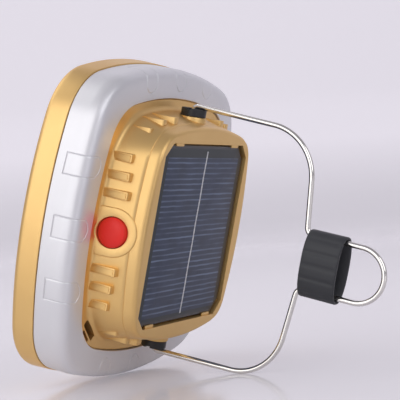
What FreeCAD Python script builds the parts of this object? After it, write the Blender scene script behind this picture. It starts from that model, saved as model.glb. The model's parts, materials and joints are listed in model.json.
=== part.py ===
"""Solar lantern with a wire bail, as a parametric FreeCAD document.

The lantern is drawn upright in its own frame, in millimetres: +Y out of the solar panel,
-Y out of the lamp face, +Z up through both bail pivots, and y = 0 where the gold bezel meets
the silver ring. At the end every sub-part gets the same placement, which leans the lantern
back until the ring and the bail's lower shoulder both touch the floor.
"""
import FreeCAD, Part
import math
import os
import Sketcher

DRIVING_SIZES = {
    # outlines: half width or the step in from the next one out, side radius, corner radius
    "ring_half": 69.8, "ring_bow": 188.0, "ring_corner": 25.8,
    "ring_lip_width": 12.8, "opening_bow": 169.0, "opening_corner": 20.3,
    "ledge_width": 5.0, "wall_bow": 165.0, "wall_corner": 26.0,
    "wall_lean": 4.7, "rim_bow": 160.0, "rim_corner": 14.5,
    "bezel_rim_width": 12.8, "view_bow": 170.0, "view_corner": 22.0,
    # ring shell
    "ring_skin": 2.4, "ring_depth": 15.5, "ring_step_drop": 2.9, "ring_step_inset": 0.9,
    "ring_shoulder": 2.6, "ring_edge_round": 0.6, "ring_lip": 2.2, "ring_lip_pass": 1.0, "parting_gap": 0.4,
    "spigot_thickness": 1.8, "spigot_overlap": 3.0,
    # front bezel and lens stack
    "bezel_proud": 0.5, "bezel_flare": 0.6, "bezel_skin": 2.4, "bezel_depth": 11.0,
    "bezel_round": 2.5, "bezel_lip": 1.8, "slip": 0.3, "lens_overlap": 4.5,
    "lens_thickness": 2.0, "seal_width": 3.0, "seal_thickness": 1.0, "flange_thickness": 1.2,
    # reflector and light source
    "dish_skin": 1.2, "dish_margin": 2.5, "dish_depth": 9.2, "cup_half": 13.5, "cup_corner": 9.0,
    "led_boss_height": 2.4,
    "chip_radius": 12.0, "chip_thickness": 1.0, "led_board_margin": 6.0, "led_board_thickness": 1.6,
    "led_screw_margin": 4.0, "heat_sink_half": 28.0, "heat_sink_thickness": 1.8,
    "plate_corner": 1.8,
    # rear housing
    "housing_flange": 2.0, "opening_gap": 0.4, "land_drop": 0.9, "rim_level": 34.7,
    "rim_bevel_height": 0.8, "rim_bevel": 1.1, "housing_skin": 2.2, "rim_width": 7.3,
    "window_chamfer": 5.8, "tray_depth": 4.5, "tray_floor": 1.8,
    "rib_width": 3.7, "rib_pitch": 7.65, "rib_shortening": 1.2, "rib_root": 7.0, "rib_foot": 1.0,
    "side_rib_first": 16.0, "side_rib_length": 11.8, "side_rib_rise": 0.8,
    "top_rib_first": 22.4, "top_rib_length": 13.1, "top_rib_sink": 0.2,
    "button_pad_radius": 10.4, "button_pad_rise": 0.6, "slot_gap": 0.8, "slot_length": 11.0,
    "slot_width": 3.2, "slot_bar": 0.8, "slot_small_length": 7.0, "slot_small_width": 1.4,
    "post_margin": 5.0, "post_radius": 4.0, "screw_cup_skin": 1.2, "screw_cup_spare": 0.2,
    "tab_centre": 27.2, "tab_width": 7.0, "tab_reach": 1.3, "tab_thickness": 1.0, "tab_root": 1.0,
    # solar panel
    "panel_gap": 0.8, "panel_thickness": 2.0, "panel_pad_margin": 4.2, "panel_pad_thickness": 0.8,
    # battery
    "cell_radius": 9.15, "cell_length": 65.0, "cell_gap": 1.3, "cell_centre": -17.0,
    "cell_stand": 11.5, "cradle_wrap": 4.6, "cradle_margin": 1.4, "contact_thickness": 0.6,
    "contact_size": 9.0, "cradle_wall": 1.8, "cell_tip_radius": 3.0, "cell_tip": 0.8,
    # control board, switch and button
    "board_thickness": 1.6, "board_half_height": 21.0, "board_depth": 15.4,
    "switch_size": 12.0, "switch_depth": 5.0, "plunger_radius": 2.0, "plunger_stand": 2.8,
    "plunger_grip": 1.5, "plunger_spare": 0.6, "button_offset": 5.9, "button_radius": 6.37,
    "button_hole_slip": 0.28, "button_flange_margin": 1.23, "button_flange": 1.2,
    "button_stand": 1.5, "button_dome": 0.9, "button_travel": 1.2, "button_seat_depth": 4.6,
    "button_recess_depth": 4.8, "button_flat": 2.9,
    "rail_width": 3.0, "rail_depth": 8.0, "rail_skin": 1.6,
    # pivot bosses and discs
    "boss_radius": 6.1, "boss_drop": 1.3, "boss_depth": 7.0,
    "disc_gap": 0.1, "disc_radius": 5.6, "disc_height": 3.4, "disc_round": 0.4,
    "arm_lift": 0.1, "groove_spare": 0.3, "cross_slot_width": 2.6, "cross_slot_depth": 0.85,
    # wire bail and collar
    "wire_radius": 1.2, "pivot_offset": 8.2, "pivot_slip": 0.05, "pin_depth": 9.0,
    "pin_hole_depth": 5.5, "pivot_bend": 2.0, "shoulder_reach": 59.6, "arm_fall": 2.3,
    "shoulder_bend": 22.5, "neck_lead": 4.5, "neck_bend": 3.2, "leg_height": 11.7,
    "eye_length": 37.2, "bail_swing": 3.0, "collar_lead": 2.1, "collar_length": 16.6,
    "collar_wall": 1.2, "collar_half_width": 7.2, "collar_side_wall": 1.8, "leg_slip": 0.3,
    "flute_count": 5.0, "flute_pitch": 5.6, "flute_radius": 1.6, "flute_stand": 1.2,
    # screws
    "screw_radius": 1.3, "screw_hole_slip": 0.05, "screw_head_radius": 2.6, "screw_head": 1.8,
    "case_screw_length": 9.0, "screw_hole_spare": 0.5, "small_screw_radius": 1.0,
    "small_head_radius": 1.9, "small_head": 1.2, "led_screw_length": 4.4,
}

document = FreeCAD.newDocument("solar_lantern")
sheet = document.addObject("Spreadsheet::Sheet", "sizes")
for row, (alias, amount) in enumerate(DRIVING_SIZES.items(), start=1):
    sheet.set(f"A{row}", alias)
    sheet.set(f"B{row}", str(amount))
    sheet.setAlias(f"B{row}", alias)
document.recompute()


class Size:
    """A length as the text of a spreadsheet expression, with the number it gives now."""

    def __init__(self, text, number):
        self.text = text
        self.number = number

    def join(self, sign, other, number):
        text = other.text if isinstance(other, Size) else repr(float(other))
        return Size(f"({self.text} {sign} {text})", number)

    def __add__(self, other):
        return self.join("+", other, self.number + number_of(other))

    def __sub__(self, other):
        return self.join("-", other, self.number - number_of(other))

    def __mul__(self, other):
        return self.join("*", other, self.number * number_of(other))

    def __truediv__(self, other):
        return self.join("/", other, self.number / number_of(other))

    def __neg__(self):
        return self * -1.0


def number_of(size):
    return size.number if isinstance(size, Size) else float(size)


def length(alias):
    return Size(f"sizes.{alias}", float(sheet.get(alias)))


def bind(item, target, size):
    """Tie one property of an object to the spreadsheet."""
    if isinstance(size, Size):
        item.setExpression(target, size.text)
    else:
        item.setExpression(target, repr(float(size)))


ZERO = Size("0", 0.0)


class Outline:
    """A square with bowed sides and round corners: half width, side radius, corner radius."""

    def __init__(self, half, bow, corner):
        self.half = half
        self.bow = bow
        self.corner = corner

    def inset(self, step):
        return Outline(self.half - step, self.bow - step, self.corner - step)

    def arcs(self):
        """Corner centre and half angle of a side arc, from the tangent condition."""
        half, bow, corner = self.half.number, self.bow.number, self.corner.number
        reach = bow - half
        root = math.sqrt(4 * reach ** 2 - 8 * (reach ** 2 - (bow - corner) ** 2))
        centre = (root - 2 * reach) / 4
        return centre, math.atan2(centre, centre + reach)

    def edge_at(self, across):
        """How far out the side lies at a distance across from its middle."""
        centre, angle = self.arcs()
        half, bow, corner = self.half.number, self.bow.number, self.corner.number
        if across <= bow * math.sin(angle):
            return half - bow + math.sqrt(bow ** 2 - across ** 2)
        return centre + math.sqrt(max(corner ** 2 - (across - centre) ** 2, 0.0))


def outline(name, half):
    return Outline(half, length(f"{name}_bow"), length(f"{name}_corner"))


RING = outline("ring", length("ring_half"))
OPENING = outline("opening", RING.half - length("ring_lip_width"))
WALL = outline("wall", OPENING.half - length("ledge_width"))
RIM = outline("rim", WALL.half - length("wall_lean"))
BEZEL = RING.inset(-length("bezel_proud"))
VIEW = outline("view", BEZEL.half - length("bezel_rim_width"))
LENS = VIEW.inset(-length("lens_overlap"))
DISH = VIEW.inset(length("dish_margin"))
BEZEL_INSIDE = BEZEL.inset(length("bezel_skin"))
SPIGOT = BEZEL_INSIDE.inset(length("slip"))
SPIGOT_INSIDE = SPIGOT.inset(length("spigot_thickness"))

# ---------------------------------------------------------------- levels along the lantern's Y
RING_BACK = length("ring_depth")
LIP_FRONT = RING_BACK - length("ring_lip")
FLANGE_FRONT = LIP_FRONT - length("housing_flange")
LAND = RING_BACK - length("land_drop")
STEP_LEVEL = RING_BACK - length("ring_step_drop")
RIM_EDGE_LEVEL = length("rim_level") - length("rim_bevel_height")
TRAY_FLOOR = length("rim_level") - length("tray_depth")
CAVITY_END = TRAY_FLOOR - length("tray_floor")
BEZEL_FRONT = -length("bezel_depth")
LENS_FRONT = BEZEL_FRONT + length("bezel_lip")
SEAL_FRONT = LENS_FRONT + length("lens_thickness")
REFLECTOR_FRONT = SEAL_FRONT + length("seal_thickness")
REFLECTOR_BACK = REFLECTOR_FRONT + length("flange_thickness")
SCREW_SEAT = REFLECTOR_FRONT + length("screw_head") + length("screw_cup_spare")
CUP_END = SCREW_SEAT + length("screw_cup_skin")
CUP_FLOOR = REFLECTOR_FRONT + length("dish_depth")
LED_BOARD_FRONT = CUP_FLOOR + length("dish_skin")
HEAT_SINK_FRONT = LED_BOARD_FRONT + length("led_board_thickness")
PANEL_BACK = TRAY_FLOOR + length("panel_pad_thickness")
PANEL_FRONT = PANEL_BACK + length("panel_thickness")
CELL_LEVEL = CAVITY_END - length("cell_stand")
BUTTON_LEVEL = RING_BACK + length("button_offset")
PIVOT_LEVEL = RING_BACK + length("pivot_offset")

# ---------------------------------------------------------------- half widths and reaches
WINDOW_HALF = RIM.half - length("rim_width")
PANEL_HALF = WINDOW_HALF - length("panel_gap")
PANEL_PAD_HALF = PANEL_HALF - length("panel_pad_margin")
PAD_FACE = (WALL.half - length("wall_lean") * (BUTTON_LEVEL - LAND) / (RIM_EDGE_LEVEL - LAND)
            + length("button_pad_rise"))
POST_OFFSET = DISH.half - length("post_margin")
LED_SCREW_OFFSET = length("heat_sink_half") - length("led_board_margin") - length("led_screw_margin")
BUTTON_FLANGE_RADIUS = length("button_radius") + length("button_flange_margin")
BOSS_TOP = WALL.half - length("boss_drop")
DISC_BASE = BOSS_TOP + length("disc_gap")
DISC_TOP = DISC_BASE + length("disc_height")
ARM_HEIGHT = DISC_TOP + length("wire_radius") + length("arm_lift")
SHOULDER_HEIGHT = ARM_HEIGHT - length("arm_fall")
NECK_REACH = length("shoulder_reach") + length("neck_lead")
EYE_REACH = NECK_REACH + length("eye_length")
COLLAR_START = NECK_REACH + length("collar_lead")

# ---------------------------------------------------------------- sketches and features
PLANE_SIGN = {"XZ_Plane": -1.0, "YZ_Plane": 1.0, "XY_Plane": 1.0}


def new_sketch(body, name, plane, level):
    """A sketch on an origin plane of its own body, moved to a level along that plane's axis."""
    sketch = body.newObject("Sketcher::SketchObject", name)
    origin = [part for part in body.Origin.OriginFeatures if part.Role == plane][0]
    sketch.AttachmentSupport = [(origin, "")]
    sketch.MapMode = "FlatFace"
    bind(sketch, "AttachmentOffset.Base.z", level * PLANE_SIGN[plane])
    return sketch


def fix(sketch, name, constraint, size):
    """Add a named dimension to a sketch and tie it to the spreadsheet."""
    index = sketch.addConstraint(constraint)
    sketch.renameConstraint(index, name)
    bind(sketch, f"Constraints.{name}", size)


def bowed_square(body, name, shape, level):
    """Sketch an outline at a Y level as eight tangent arcs."""
    sketch = new_sketch(body, name, "XZ_Plane", level)
    half, bow, corner = shape.half.number, shape.bow.number, shape.corner.number
    centre, angle = shape.arcs()
    normal = FreeCAD.Vector(0, 0, 1)
    edges = []
    for quarter in range(4):
        turn = quarter * math.pi / 2
        east, north = math.cos(turn), math.sin(turn)
        side = FreeCAD.Vector((half - bow) * east, (half - bow) * north, 0)
        nook = FreeCAD.Vector(centre * (east - north), centre * (north + east), 0)
        edges.append(Part.ArcOfCircle(Part.Circle(side, normal, bow), turn - angle, turn + angle))
        edges.append(Part.ArcOfCircle(Part.Circle(nook, normal, corner),
                                      turn + angle, turn + math.pi / 2 - angle))
    sketch.addGeometry(edges, False)
    rule = Sketcher.Constraint
    rules = [rule("Tangent", index, 2, (index + 1) % 8, 1) for index in range(8)]
    rules += [rule("Equal", 0, index) for index in (2, 4, 6)]
    rules += [rule("Equal", 1, index) for index in (3, 5, 7)]
    rules += [rule("PointOnObject", 0, 3, -1), rule("PointOnObject", 2, 3, -2)]
    rules += [rule("Symmetric", 0, 3, 4, 3, -1, 1), rule("Symmetric", 2, 3, 6, 3, -1, 1)]
    sketch.addConstraint(rules)
    fix(sketch, "bow", rule("Radius", 0, bow), shape.bow)
    fix(sketch, "corner", rule("Radius", 1, corner), shape.corner)
    fix(sketch, "side_set", rule("DistanceX", 0, 3, -1, 1, bow - half), shape.bow - shape.half)
    fix(sketch, "top_set", rule("DistanceY", 2, 3, -1, 1, bow - half), shape.bow - shape.half)
    return sketch


def polygon(sketch, points):
    """Closed polygon whose corners are tied to the spreadsheet one by one."""
    corners = [FreeCAD.Vector(number_of(x), number_of(y), 0) for x, y in points]
    count = len(corners)
    lines = [Part.LineSegment(corners[i], corners[(i + 1) % count]) for i in range(count)]
    sketch.addGeometry(lines, False)
    rule = Sketcher.Constraint
    sketch.addConstraint([rule("Coincident", i, 2, (i + 1) % count, 1) for i in range(count)])
    for index, (x, y) in enumerate(points):
        place_point(sketch, f"p{index}", index, 1, x, y)


def place_point(sketch, name, element, end, x, y):
    """Hold a point of a sketch at x and y, with a signed dimension or on the axis."""
    rule = Sketcher.Constraint
    for axis, kind, line, value in (("x", "DistanceX", -2, x), ("y", "DistanceY", -1, y)):
        if number_of(value) == 0.0:
            sketch.addConstraint(rule("PointOnObject", element, end, line))
        else:
            fix(sketch, name + axis, rule(kind, -1, 1, element, end, number_of(value)), value)


def circle(sketch, name, x, y, radius):
    """Add a circle to a sketch, tied to the spreadsheet in place and size."""
    middle = FreeCAD.Vector(number_of(x), number_of(y), 0)
    shape = Part.Circle(middle, FreeCAD.Vector(0, 0, 1), number_of(radius))
    index = sketch.addGeometry(shape, False)
    place_point(sketch, name, index, 3, x, y)
    fix(sketch, name + "r", Sketcher.Constraint("Radius", index, number_of(radius)), radius)


def rectangle(sketch, x_low, x_high, y_low, y_high):
    polygon(sketch, [(x_low, y_low), (x_high, y_low), (x_high, y_high), (x_low, y_high)])


def pad(body, name, sketch, size):
    feature = body.newObject("PartDesign::Pad", name)
    feature.Profile = sketch
    bind(feature, "Length", size)
    document.recompute()
    return feature


def pocket(body, name, sketch, size):
    """Cut along the way opposite to the sketch's normal, and insist that material goes."""
    before = body.Shape.Volume
    feature = body.newObject("PartDesign::Pocket", name)
    feature.Profile = sketch
    bind(feature, "Length", size)
    document.recompute()
    if not body.Shape.Volume < before:
        raise RuntimeError(f"{body.Label}: {name} cut nothing")
    return feature


def loft(body, kind, name, first, second):
    feature = body.newObject(f"PartDesign::{kind}Loft", name)
    feature.Profile = first
    feature.Sections = [second]
    feature.Ruled = True
    document.recompute()
    return feature


def soften(body, name, radius, chosen, kind="Fillet"):
    """Round or chamfer the edges of the body's tip that a test picks out."""
    tip = body.Tip
    names = [f"Edge{i}" for i, edge in enumerate(tip.Shape.Edges, start=1) if chosen(edge)]
    feature = body.newObject(f"PartDesign::{kind}", name)
    feature.Base = (tip, names)
    bind(feature, "Radius" if kind == "Fillet" else "Size", radius)
    document.recompute()
    return feature


SAME_PLACE = 0.01


def lies_at(level):
    """Test for an edge that lies wholly at a Y level."""
    def test(edge):
        bounds = edge.BoundBox
        return max(abs(bounds.YMin - level.number), abs(bounds.YMax - level.number)) < SAME_PLACE
    return test


def new_body(label):
    body = document.addObject("PartDesign::Body", label)
    body.Label = label
    return body


# ---------------------------------------------------------------- primitives and booleans
def box(name, x_range, y_range, z_range):
    item = document.addObject("Part::Box", name)
    for side, axis, (low, high) in (("Length", "x", x_range), ("Width", "y", y_range),
                                    ("Height", "z", z_range)):
        bind(item, side, high - low)
        bind(item, f"Placement.Base.{axis}", low)
    return item


AXIS_TURN = {"X": ((0, 1, 0), 90), "-X": ((0, 1, 0), -90), "Y": ((1, 0, 0), -90),
             "-Y": ((1, 0, 0), 90), "Z": ((0, 0, 1), 0), "-Z": ((1, 0, 0), 180)}


def cylinder(name, axis, radius, base, size):
    """A cylinder that starts at the point base and runs along an axis."""
    item = document.addObject("Part::Cylinder", name)
    bind(item, "Radius", radius)
    bind(item, "Height", size)
    turn, angle = AXIS_TURN[axis]
    item.Placement = FreeCAD.Placement(FreeCAD.Vector(), FreeCAD.Rotation(FreeCAD.Vector(*turn), angle))
    for letter, value in zip("xyz", base):
        bind(item, f"Placement.Base.{letter}", value)
    return item


def fuse(label, parts):
    item = document.addObject("Part::MultiFuse", label)
    item.Shapes = parts
    item.Label = label
    item.Refine = True
    return item


def cut(label, base, tool):
    item = document.addObject("Part::Cut", label)
    item.Base = base
    item.Tool = tool
    item.Label = label
    return item


def common(label, parts):
    item = document.addObject("Part::MultiCommon", label)
    item.Shapes = parts
    item.Label = label
    return item


def group(label, parts):
    """Several separate solids in one node."""
    item = document.addObject("Part::Compound", label)
    item.Links = parts
    item.Label = label
    return item


def screw(name, axis, seat, shank_radius, shank, head_radius, head):
    """A pan-head screw: its head stands behind the seat, its shank runs along the axis."""
    step = {"Y": (0, 1, 0), "-Y": (0, -1, 0), "Z": (0, 0, 1), "-Z": (0, 0, -1)}[axis]
    back = [value - head * side for value, side in zip(seat, step)]
    return fuse(name, [cylinder(f"{name}_head", axis, head_radius, back, head),
                       cylinder(f"{name}_shank", axis, shank_radius, seat, shank)])


def corner_points(offset):
    return [(offset * side, offset * rise) for side in (-1.0, 1.0) for rise in (-1.0, 1.0)]


# ---------------------------------------------------------------- lamp face
def make_front_bezel():
    body = new_body("front_bezel")
    front = BEZEL.inset(-length("bezel_flare"))
    loft(body, "Additive", "band", bowed_square(body, "back_edge", BEZEL, ZERO),
         bowed_square(body, "front_edge", front, BEZEL_FRONT))
    soften(body, "front_round", length("bezel_round"), lies_at(BEZEL_FRONT))
    pocket(body, "inside", bowed_square(body, "inner_edge", BEZEL_INSIDE, LENS_FRONT), -LENS_FRONT)
    pocket(body, "view", bowed_square(body, "view_edge", VIEW, BEZEL_FRONT), length("bezel_depth"))
    return body


def make_front_lens():
    body = new_body("front_lens")
    pad(body, "plate", bowed_square(body, "edge", LENS, SEAL_FRONT),
        length("lens_thickness"))
    return body


def make_lens_seal():
    body = new_body("lens_seal")
    pad(body, "strip", bowed_square(body, "outer_edge", LENS, REFLECTOR_FRONT),
        length("seal_thickness"))
    inner = LENS.inset(length("seal_width"))
    pocket(body, "inside", bowed_square(body, "inner_edge", inner, SEAL_FRONT),
           length("seal_thickness"))
    return body


def make_reflector():
    body = new_body("reflector_body")
    skin = length("dish_skin")
    cup = Outline(length("cup_half"), length("view_bow"), length("cup_corner"))
    pad(body, "flange", bowed_square(body, "flange_edge", SPIGOT, REFLECTOR_BACK),
        length("flange_thickness"))
    loft(body, "Additive", "dish", bowed_square(body, "mouth_outer", DISH.inset(-skin), REFLECTOR_BACK),
         bowed_square(body, "cup_outer", cup.inset(-skin), LED_BOARD_FRONT))
    loft(body, "Subtractive", "hollow", bowed_square(body, "mouth", DISH, REFLECTOR_FRONT),
         bowed_square(body, "cup", cup, CUP_FLOOR))
    pocket(body, "light_hole", bowed_square(body, "hole", cup, REFLECTOR_FRONT),
           length("dish_depth") + skin)
    bosses = [cylinder("led_boss", "-Y", length("small_head_radius"), (x, LED_BOARD_FRONT, z),
                       length("led_boss_height"))
              for x, z in corner_points(LED_SCREW_OFFSET)]
    holes = []
    for x, z in corner_points(POST_OFFSET):
        room = length("screw_head_radius") + length("slip")
        bosses.append(cylinder("screw_cup", "Y", room + length("screw_cup_skin"),
                               (x, REFLECTOR_FRONT, z), CUP_END - REFLECTOR_FRONT))
        holes.append(cylinder("screw_cup_room", "Y", room, (x, REFLECTOR_FRONT, z),
                              SCREW_SEAT - REFLECTOR_FRONT))
        holes.append(cylinder("case_screw_hole", "Y", length("screw_radius") + length("screw_hole_slip"),
                              (x, SCREW_SEAT, z), CUP_END - SCREW_SEAT))
    holes += [cylinder("led_screw_hole", "-Y", length("small_screw_radius") + length("screw_hole_slip"),
                       (x, LED_BOARD_FRONT, z), length("led_screw_length")
                       - length("led_board_thickness") - length("heat_sink_thickness"))
              for x, z in corner_points(LED_SCREW_OFFSET)]
    return cut("reflector", fuse("reflector_blank", [body] + bosses), fuse("reflector_holes", holes))


def make_led_stack():
    """The light source: chip, board and heat sink, with the four screws that hold them."""
    chip = group("led_chip", [cylinder("chip_disc", "-Y", length("chip_radius"),
                                       (ZERO, LED_BOARD_FRONT, ZERO), length("chip_thickness"))])
    plates = []
    for label, half, front, depth in (
            ("led_board", length("heat_sink_half") - length("led_board_margin"), LED_BOARD_FRONT,
             length("led_board_thickness")),
            ("heat_sink", length("heat_sink_half"), HEAT_SINK_FRONT, length("heat_sink_thickness"))):
        body = new_body(label)
        sketch = new_sketch(body, "plate_edge", "XZ_Plane", front + depth)
        rectangle(sketch, -half, half, -half, half)
        pad(body, "plate", sketch, depth)
        soften(body, "corners", length("plate_corner"), runs_along_y)
        holes = new_sketch(body, "holes", "XZ_Plane", front)
        for index, (x, z) in enumerate(corner_points(LED_SCREW_OFFSET)):
            circle(holes, f"hole{index}", x, z,
                   length("small_screw_radius") + length("screw_hole_slip"))
        pocket(body, "screw_holes", holes, depth)
        plates.append(body)
    seat = HEAT_SINK_FRONT + length("heat_sink_thickness")
    screws = [screw(f"led_screw_{index}", "-Y", (x, seat, z), length("small_screw_radius"),
                    length("led_screw_length"), length("small_head_radius"), length("small_head"))
              for index, (x, z) in enumerate(corner_points(LED_SCREW_OFFSET))]
    return [chip] + plates + [group("led_screws", screws)]


def runs_along_y(edge):
    bounds = edge.BoundBox
    return max(bounds.XLength, bounds.ZLength) < SAME_PLACE


# ---------------------------------------------------------------- case
def make_ring_shell():
    body = new_body("ring_shell")
    gap = length("parting_gap")
    lip_pass = length("ring_lip_pass")
    shoulder = RING.inset(length("ring_step_inset"))
    pad(body, "side_wall", bowed_square(body, "side_edge", RING, STEP_LEVEL),
        STEP_LEVEL - gap)
    soften(body, "step_round", length("ring_edge_round"),
           lies_at(STEP_LEVEL))
    pad(body, "shoulder", bowed_square(body, "shoulder_edge", shoulder, RING_BACK), RING_BACK - gap)
    soften(body, "shoulder_round", length("ring_shoulder"), lies_at(RING_BACK))
    overlap = length("spigot_overlap")
    pad(body, "spigot", bowed_square(body, "spigot_edge", SPIGOT, overlap), overlap - REFLECTOR_BACK)
    pocket(body, "spigot_bore", bowed_square(body, "spigot_bore_edge", SPIGOT_INSIDE, REFLECTOR_BACK),
           overlap - REFLECTOR_BACK)
    pocket(body, "bore", bowed_square(body, "bore_edge", RING.inset(length("ring_skin")), overlap),
           LIP_FRONT - overlap)
    pocket(body, "opening", bowed_square(body, "opening_edge", OPENING, LIP_FRONT - lip_pass),
           length("ring_lip") + lip_pass * 2.0)
    return body


def housing_shell():
    """Flange, land, leaning wall, rim and panel tray of the rear housing."""
    body = new_body("housing_shell")
    flange = SPIGOT_INSIDE.inset(length("slip"))
    land = OPENING.inset(length("opening_gap"))
    skin = length("housing_skin")
    pad(body, "flange", bowed_square(body, "flange_edge", flange, LIP_FRONT),
        length("housing_flange"))
    pad(body, "land", bowed_square(body, "land_edge", land, LAND), LAND - FLANGE_FRONT)
    loft(body, "Additive", "wall", bowed_square(body, "wall_base", WALL, LAND),
         bowed_square(body, "wall_top", RIM, RIM_EDGE_LEVEL))
    loft(body, "Additive", "rim", bowed_square(body, "rim_base", RIM, RIM_EDGE_LEVEL),
         bowed_square(body, "rim_top", RIM.inset(length("rim_bevel")), length("rim_level")))
    loft(body, "Subtractive", "cavity", bowed_square(body, "cavity_mouth", WALL.inset(skin), FLANGE_FRONT),
         bowed_square(body, "cavity_end", RIM.inset(skin), CAVITY_END))
    window = new_sketch(body, "window_edge", "XZ_Plane", TRAY_FLOOR)
    half = WINDOW_HALF
    nick = half - length("window_chamfer")
    polygon(window, [(half, -nick), (half, nick), (nick, half), (-nick, half),
                     (-half, nick), (-half, -nick), (-nick, -half), (nick, -half)])
    pocket(body, "window", window, length("tray_depth"))
    return body


def housing_ribs():
    """Three ribs each side of the button pad or boss, on all four walls, the outer ones shorter."""
    half = length("rib_width") / 2.0
    foot = LAND - length("rib_foot")
    root = length("rib_root")
    ribs = []
    for index in range(3):
        step = length("rib_pitch") * index
        short = length("rib_shortening") * index
        for sign in (-1.0, 1.0):
            side = (length("side_rib_first") + step) * sign
            top = (length("top_rib_first") + step) * sign
            side_face = wall_foot(abs(side.number) + half.number) + length("side_rib_rise")
            top_face = wall_foot(abs(top.number) + half.number) - length("top_rib_sink")
            side_span = (foot, LAND + length("side_rib_length") - short)
            top_span = (foot, LAND + length("top_rib_length") - short)
            for wall in (-1.0, 1.0):
                reach = sorted([side_face * wall, (side_face - root) * wall], key=number_of)
                ribs.append(box("side_rib", reach, side_span, (side - half, side + half)))
                reach = sorted([top_face * wall, (top_face - root) * wall], key=number_of)
                ribs.append(box("top_rib", (top - half, top + half), top_span, reach))
    return ribs


def wall_foot(across):
    """Outer face of the wall's foot at that distance from the middle of its side."""
    return WALL.half - (WALL.half.number - WALL.edge_at(across))


def corner_slots():
    """Two slots across each lower corner of the land, with a thin bar between them."""
    centre = WALL.arcs()[0]
    foot = centre * math.sqrt(2) + WALL.corner.number + length("slot_gap").number
    wide, small = length("slot_width").number, length("slot_small_width").number
    slots = []
    for turn in (45, 135):
        for start, run, width in ((foot, "slot_length", wide),
                                  (foot + wide + length("slot_bar").number, "slot_small_length", small)):
            item = document.addObject("Part::Box", "corner_slot")
            item.Length = width
            bind(item, "Height", length(run))
            bind(item, "Width", LAND - FLANGE_FRONT)
            low = FreeCAD.Vector(start, FLANGE_FRONT.number, -length(run).number / 2)
            spin = FreeCAD.Rotation(FreeCAD.Vector(0, 1, 0), turn)
            item.Placement = FreeCAD.Placement(spin.multVec(low), spin)
            slots.append(item)
    return slots


PAD_DEPTH = length("button_seat_depth") + length("button_flange")
BUTTON_BASE = (PAD_FACE - length("button_seat_depth") - length("button_flange")
               - length("button_hole_slip"))
SWITCH_FACE = BUTTON_BASE - length("plunger_stand")
BOARD_OUTER = SWITCH_FACE - length("switch_depth")


def board_rails():
    """Two grooved rails on the tray floor that hold the control board's edges."""
    edge = length("board_half_height")
    skin = length("rail_skin")
    rails, grooves = [], []
    for sign in (-1.0, 1.0):
        span = sorted([(edge + skin) * sign, (edge - length("rail_width")) * sign], key=number_of)
        rails.append(box("board_rail", (BOARD_OUTER - length("board_thickness") - skin, BOARD_OUTER + skin),
                         (CAVITY_END - length("rail_depth"), CAVITY_END + length("slip")), span))
        slot = sorted([edge * sign, (edge - length("rail_width") - skin) * sign], key=number_of)
        grooves.append(box("board_groove", (BOARD_OUTER - length("board_thickness"), BOARD_OUTER),
                           (CAVITY_END - length("rail_depth"), CAVITY_END), slot))
    return rails, grooves


def button_pad(outer, inner):
    """Tongue with a round end round the button, whose face follows the leaning wall."""
    radius = length("button_pad_radius")
    tongue = fuse("button_tongue", [
        cylinder("button_pad_end", "-X", radius, (outer, BUTTON_LEVEL, ZERO), outer - inner),
        box("button_pad_foot", (inner, outer), (LAND - length("rib_foot"), BUTTON_LEVEL),
            (-radius, radius))])
    room = new_body("button_pad_room")
    rise = length("button_pad_rise")
    pad(room, "foot", bowed_square(room, "foot_edge", WALL.inset(-rise), LAND), length("rib_foot"))
    loft(room, "Additive", "lean", bowed_square(room, "lean_base", WALL.inset(-rise), LAND),
         bowed_square(room, "lean_top", RIM.inset(-rise), RIM_EDGE_LEVEL))
    return common("button_pad", [tongue, room])


def make_rear_housing():
    post_holes, solids = [], [housing_shell()] + housing_ribs()
    post_depth = FLANGE_FRONT - CUP_END
    for x, z in corner_points(POST_OFFSET):
        solids.append(cylinder("case_post", "-Y", length("post_radius"), (x, FLANGE_FRONT, z), post_depth))
        post_holes.append(cylinder("post_hole", "Y", length("screw_radius") + length("screw_hole_slip"),
                                   (x, SCREW_SEAT, z), length("case_screw_length")
                                   + length("screw_hole_spare")))
    level = BUTTON_LEVEL
    outer, inner = WALL.half + length("button_pad_rise"), PAD_FACE - PAD_DEPTH
    solids.append(button_pad(outer, inner))
    bores = [cylinder("button_hole", "-X", length("button_radius") + length("button_hole_slip"),
                      (outer, level, ZERO), outer - inner),
             cylinder("button_recess", "-X", BUTTON_FLANGE_RADIUS + length("slip"),
                      (PAD_FACE - length("button_seat_depth"), level, ZERO),
                      length("button_recess_depth"))]
    rails, grooves = board_rails()
    for sign, inward, outward in ((1.0, "-Z", "Z"), (-1.0, "Z", "-Z")):
        seat = (ZERO, PIVOT_LEVEL, BOSS_TOP * sign)
        solids.append(cylinder("pivot_boss", inward, length("boss_radius"), seat, length("boss_depth")))
        bores.append(cylinder("pivot_hole", inward, length("wire_radius") + length("pivot_slip"), seat,
                              length("pin_hole_depth")))
        bores.append(cylinder("disc_room", outward, length("disc_radius") + length("slip"), seat,
                              length("disc_height")))
    tabs = []
    for sign in (-1.0, 1.0):
        for wall in (-1.0, 1.0):
            centre = length("tab_centre") * sign
            wide = length("tab_width") / 2.0
            inner = (WINDOW_HALF - length("tab_reach")) * wall
            span = sorted([inner, (WINDOW_HALF + length("tab_root")) * wall], key=number_of)
            tabs.append(box("panel_tab", (centre - wide, centre + wide),
                            (PANEL_FRONT, PANEL_FRONT + length("tab_thickness")), span))
    blank = fuse("housing_blank", solids + rails + tabs)
    return cut("rear_housing", blank, fuse("housing_cuts", bores + post_holes + grooves + corner_slots()))


def make_case_screws():
    screws = [screw(f"case_screw_{index}", "Y", (x, SCREW_SEAT, z), length("screw_radius"),
                    length("case_screw_length"), length("screw_head_radius"), length("screw_head"))
              for index, (x, z) in enumerate(corner_points(POST_OFFSET))]
    return group("case_screws", screws)


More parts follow.
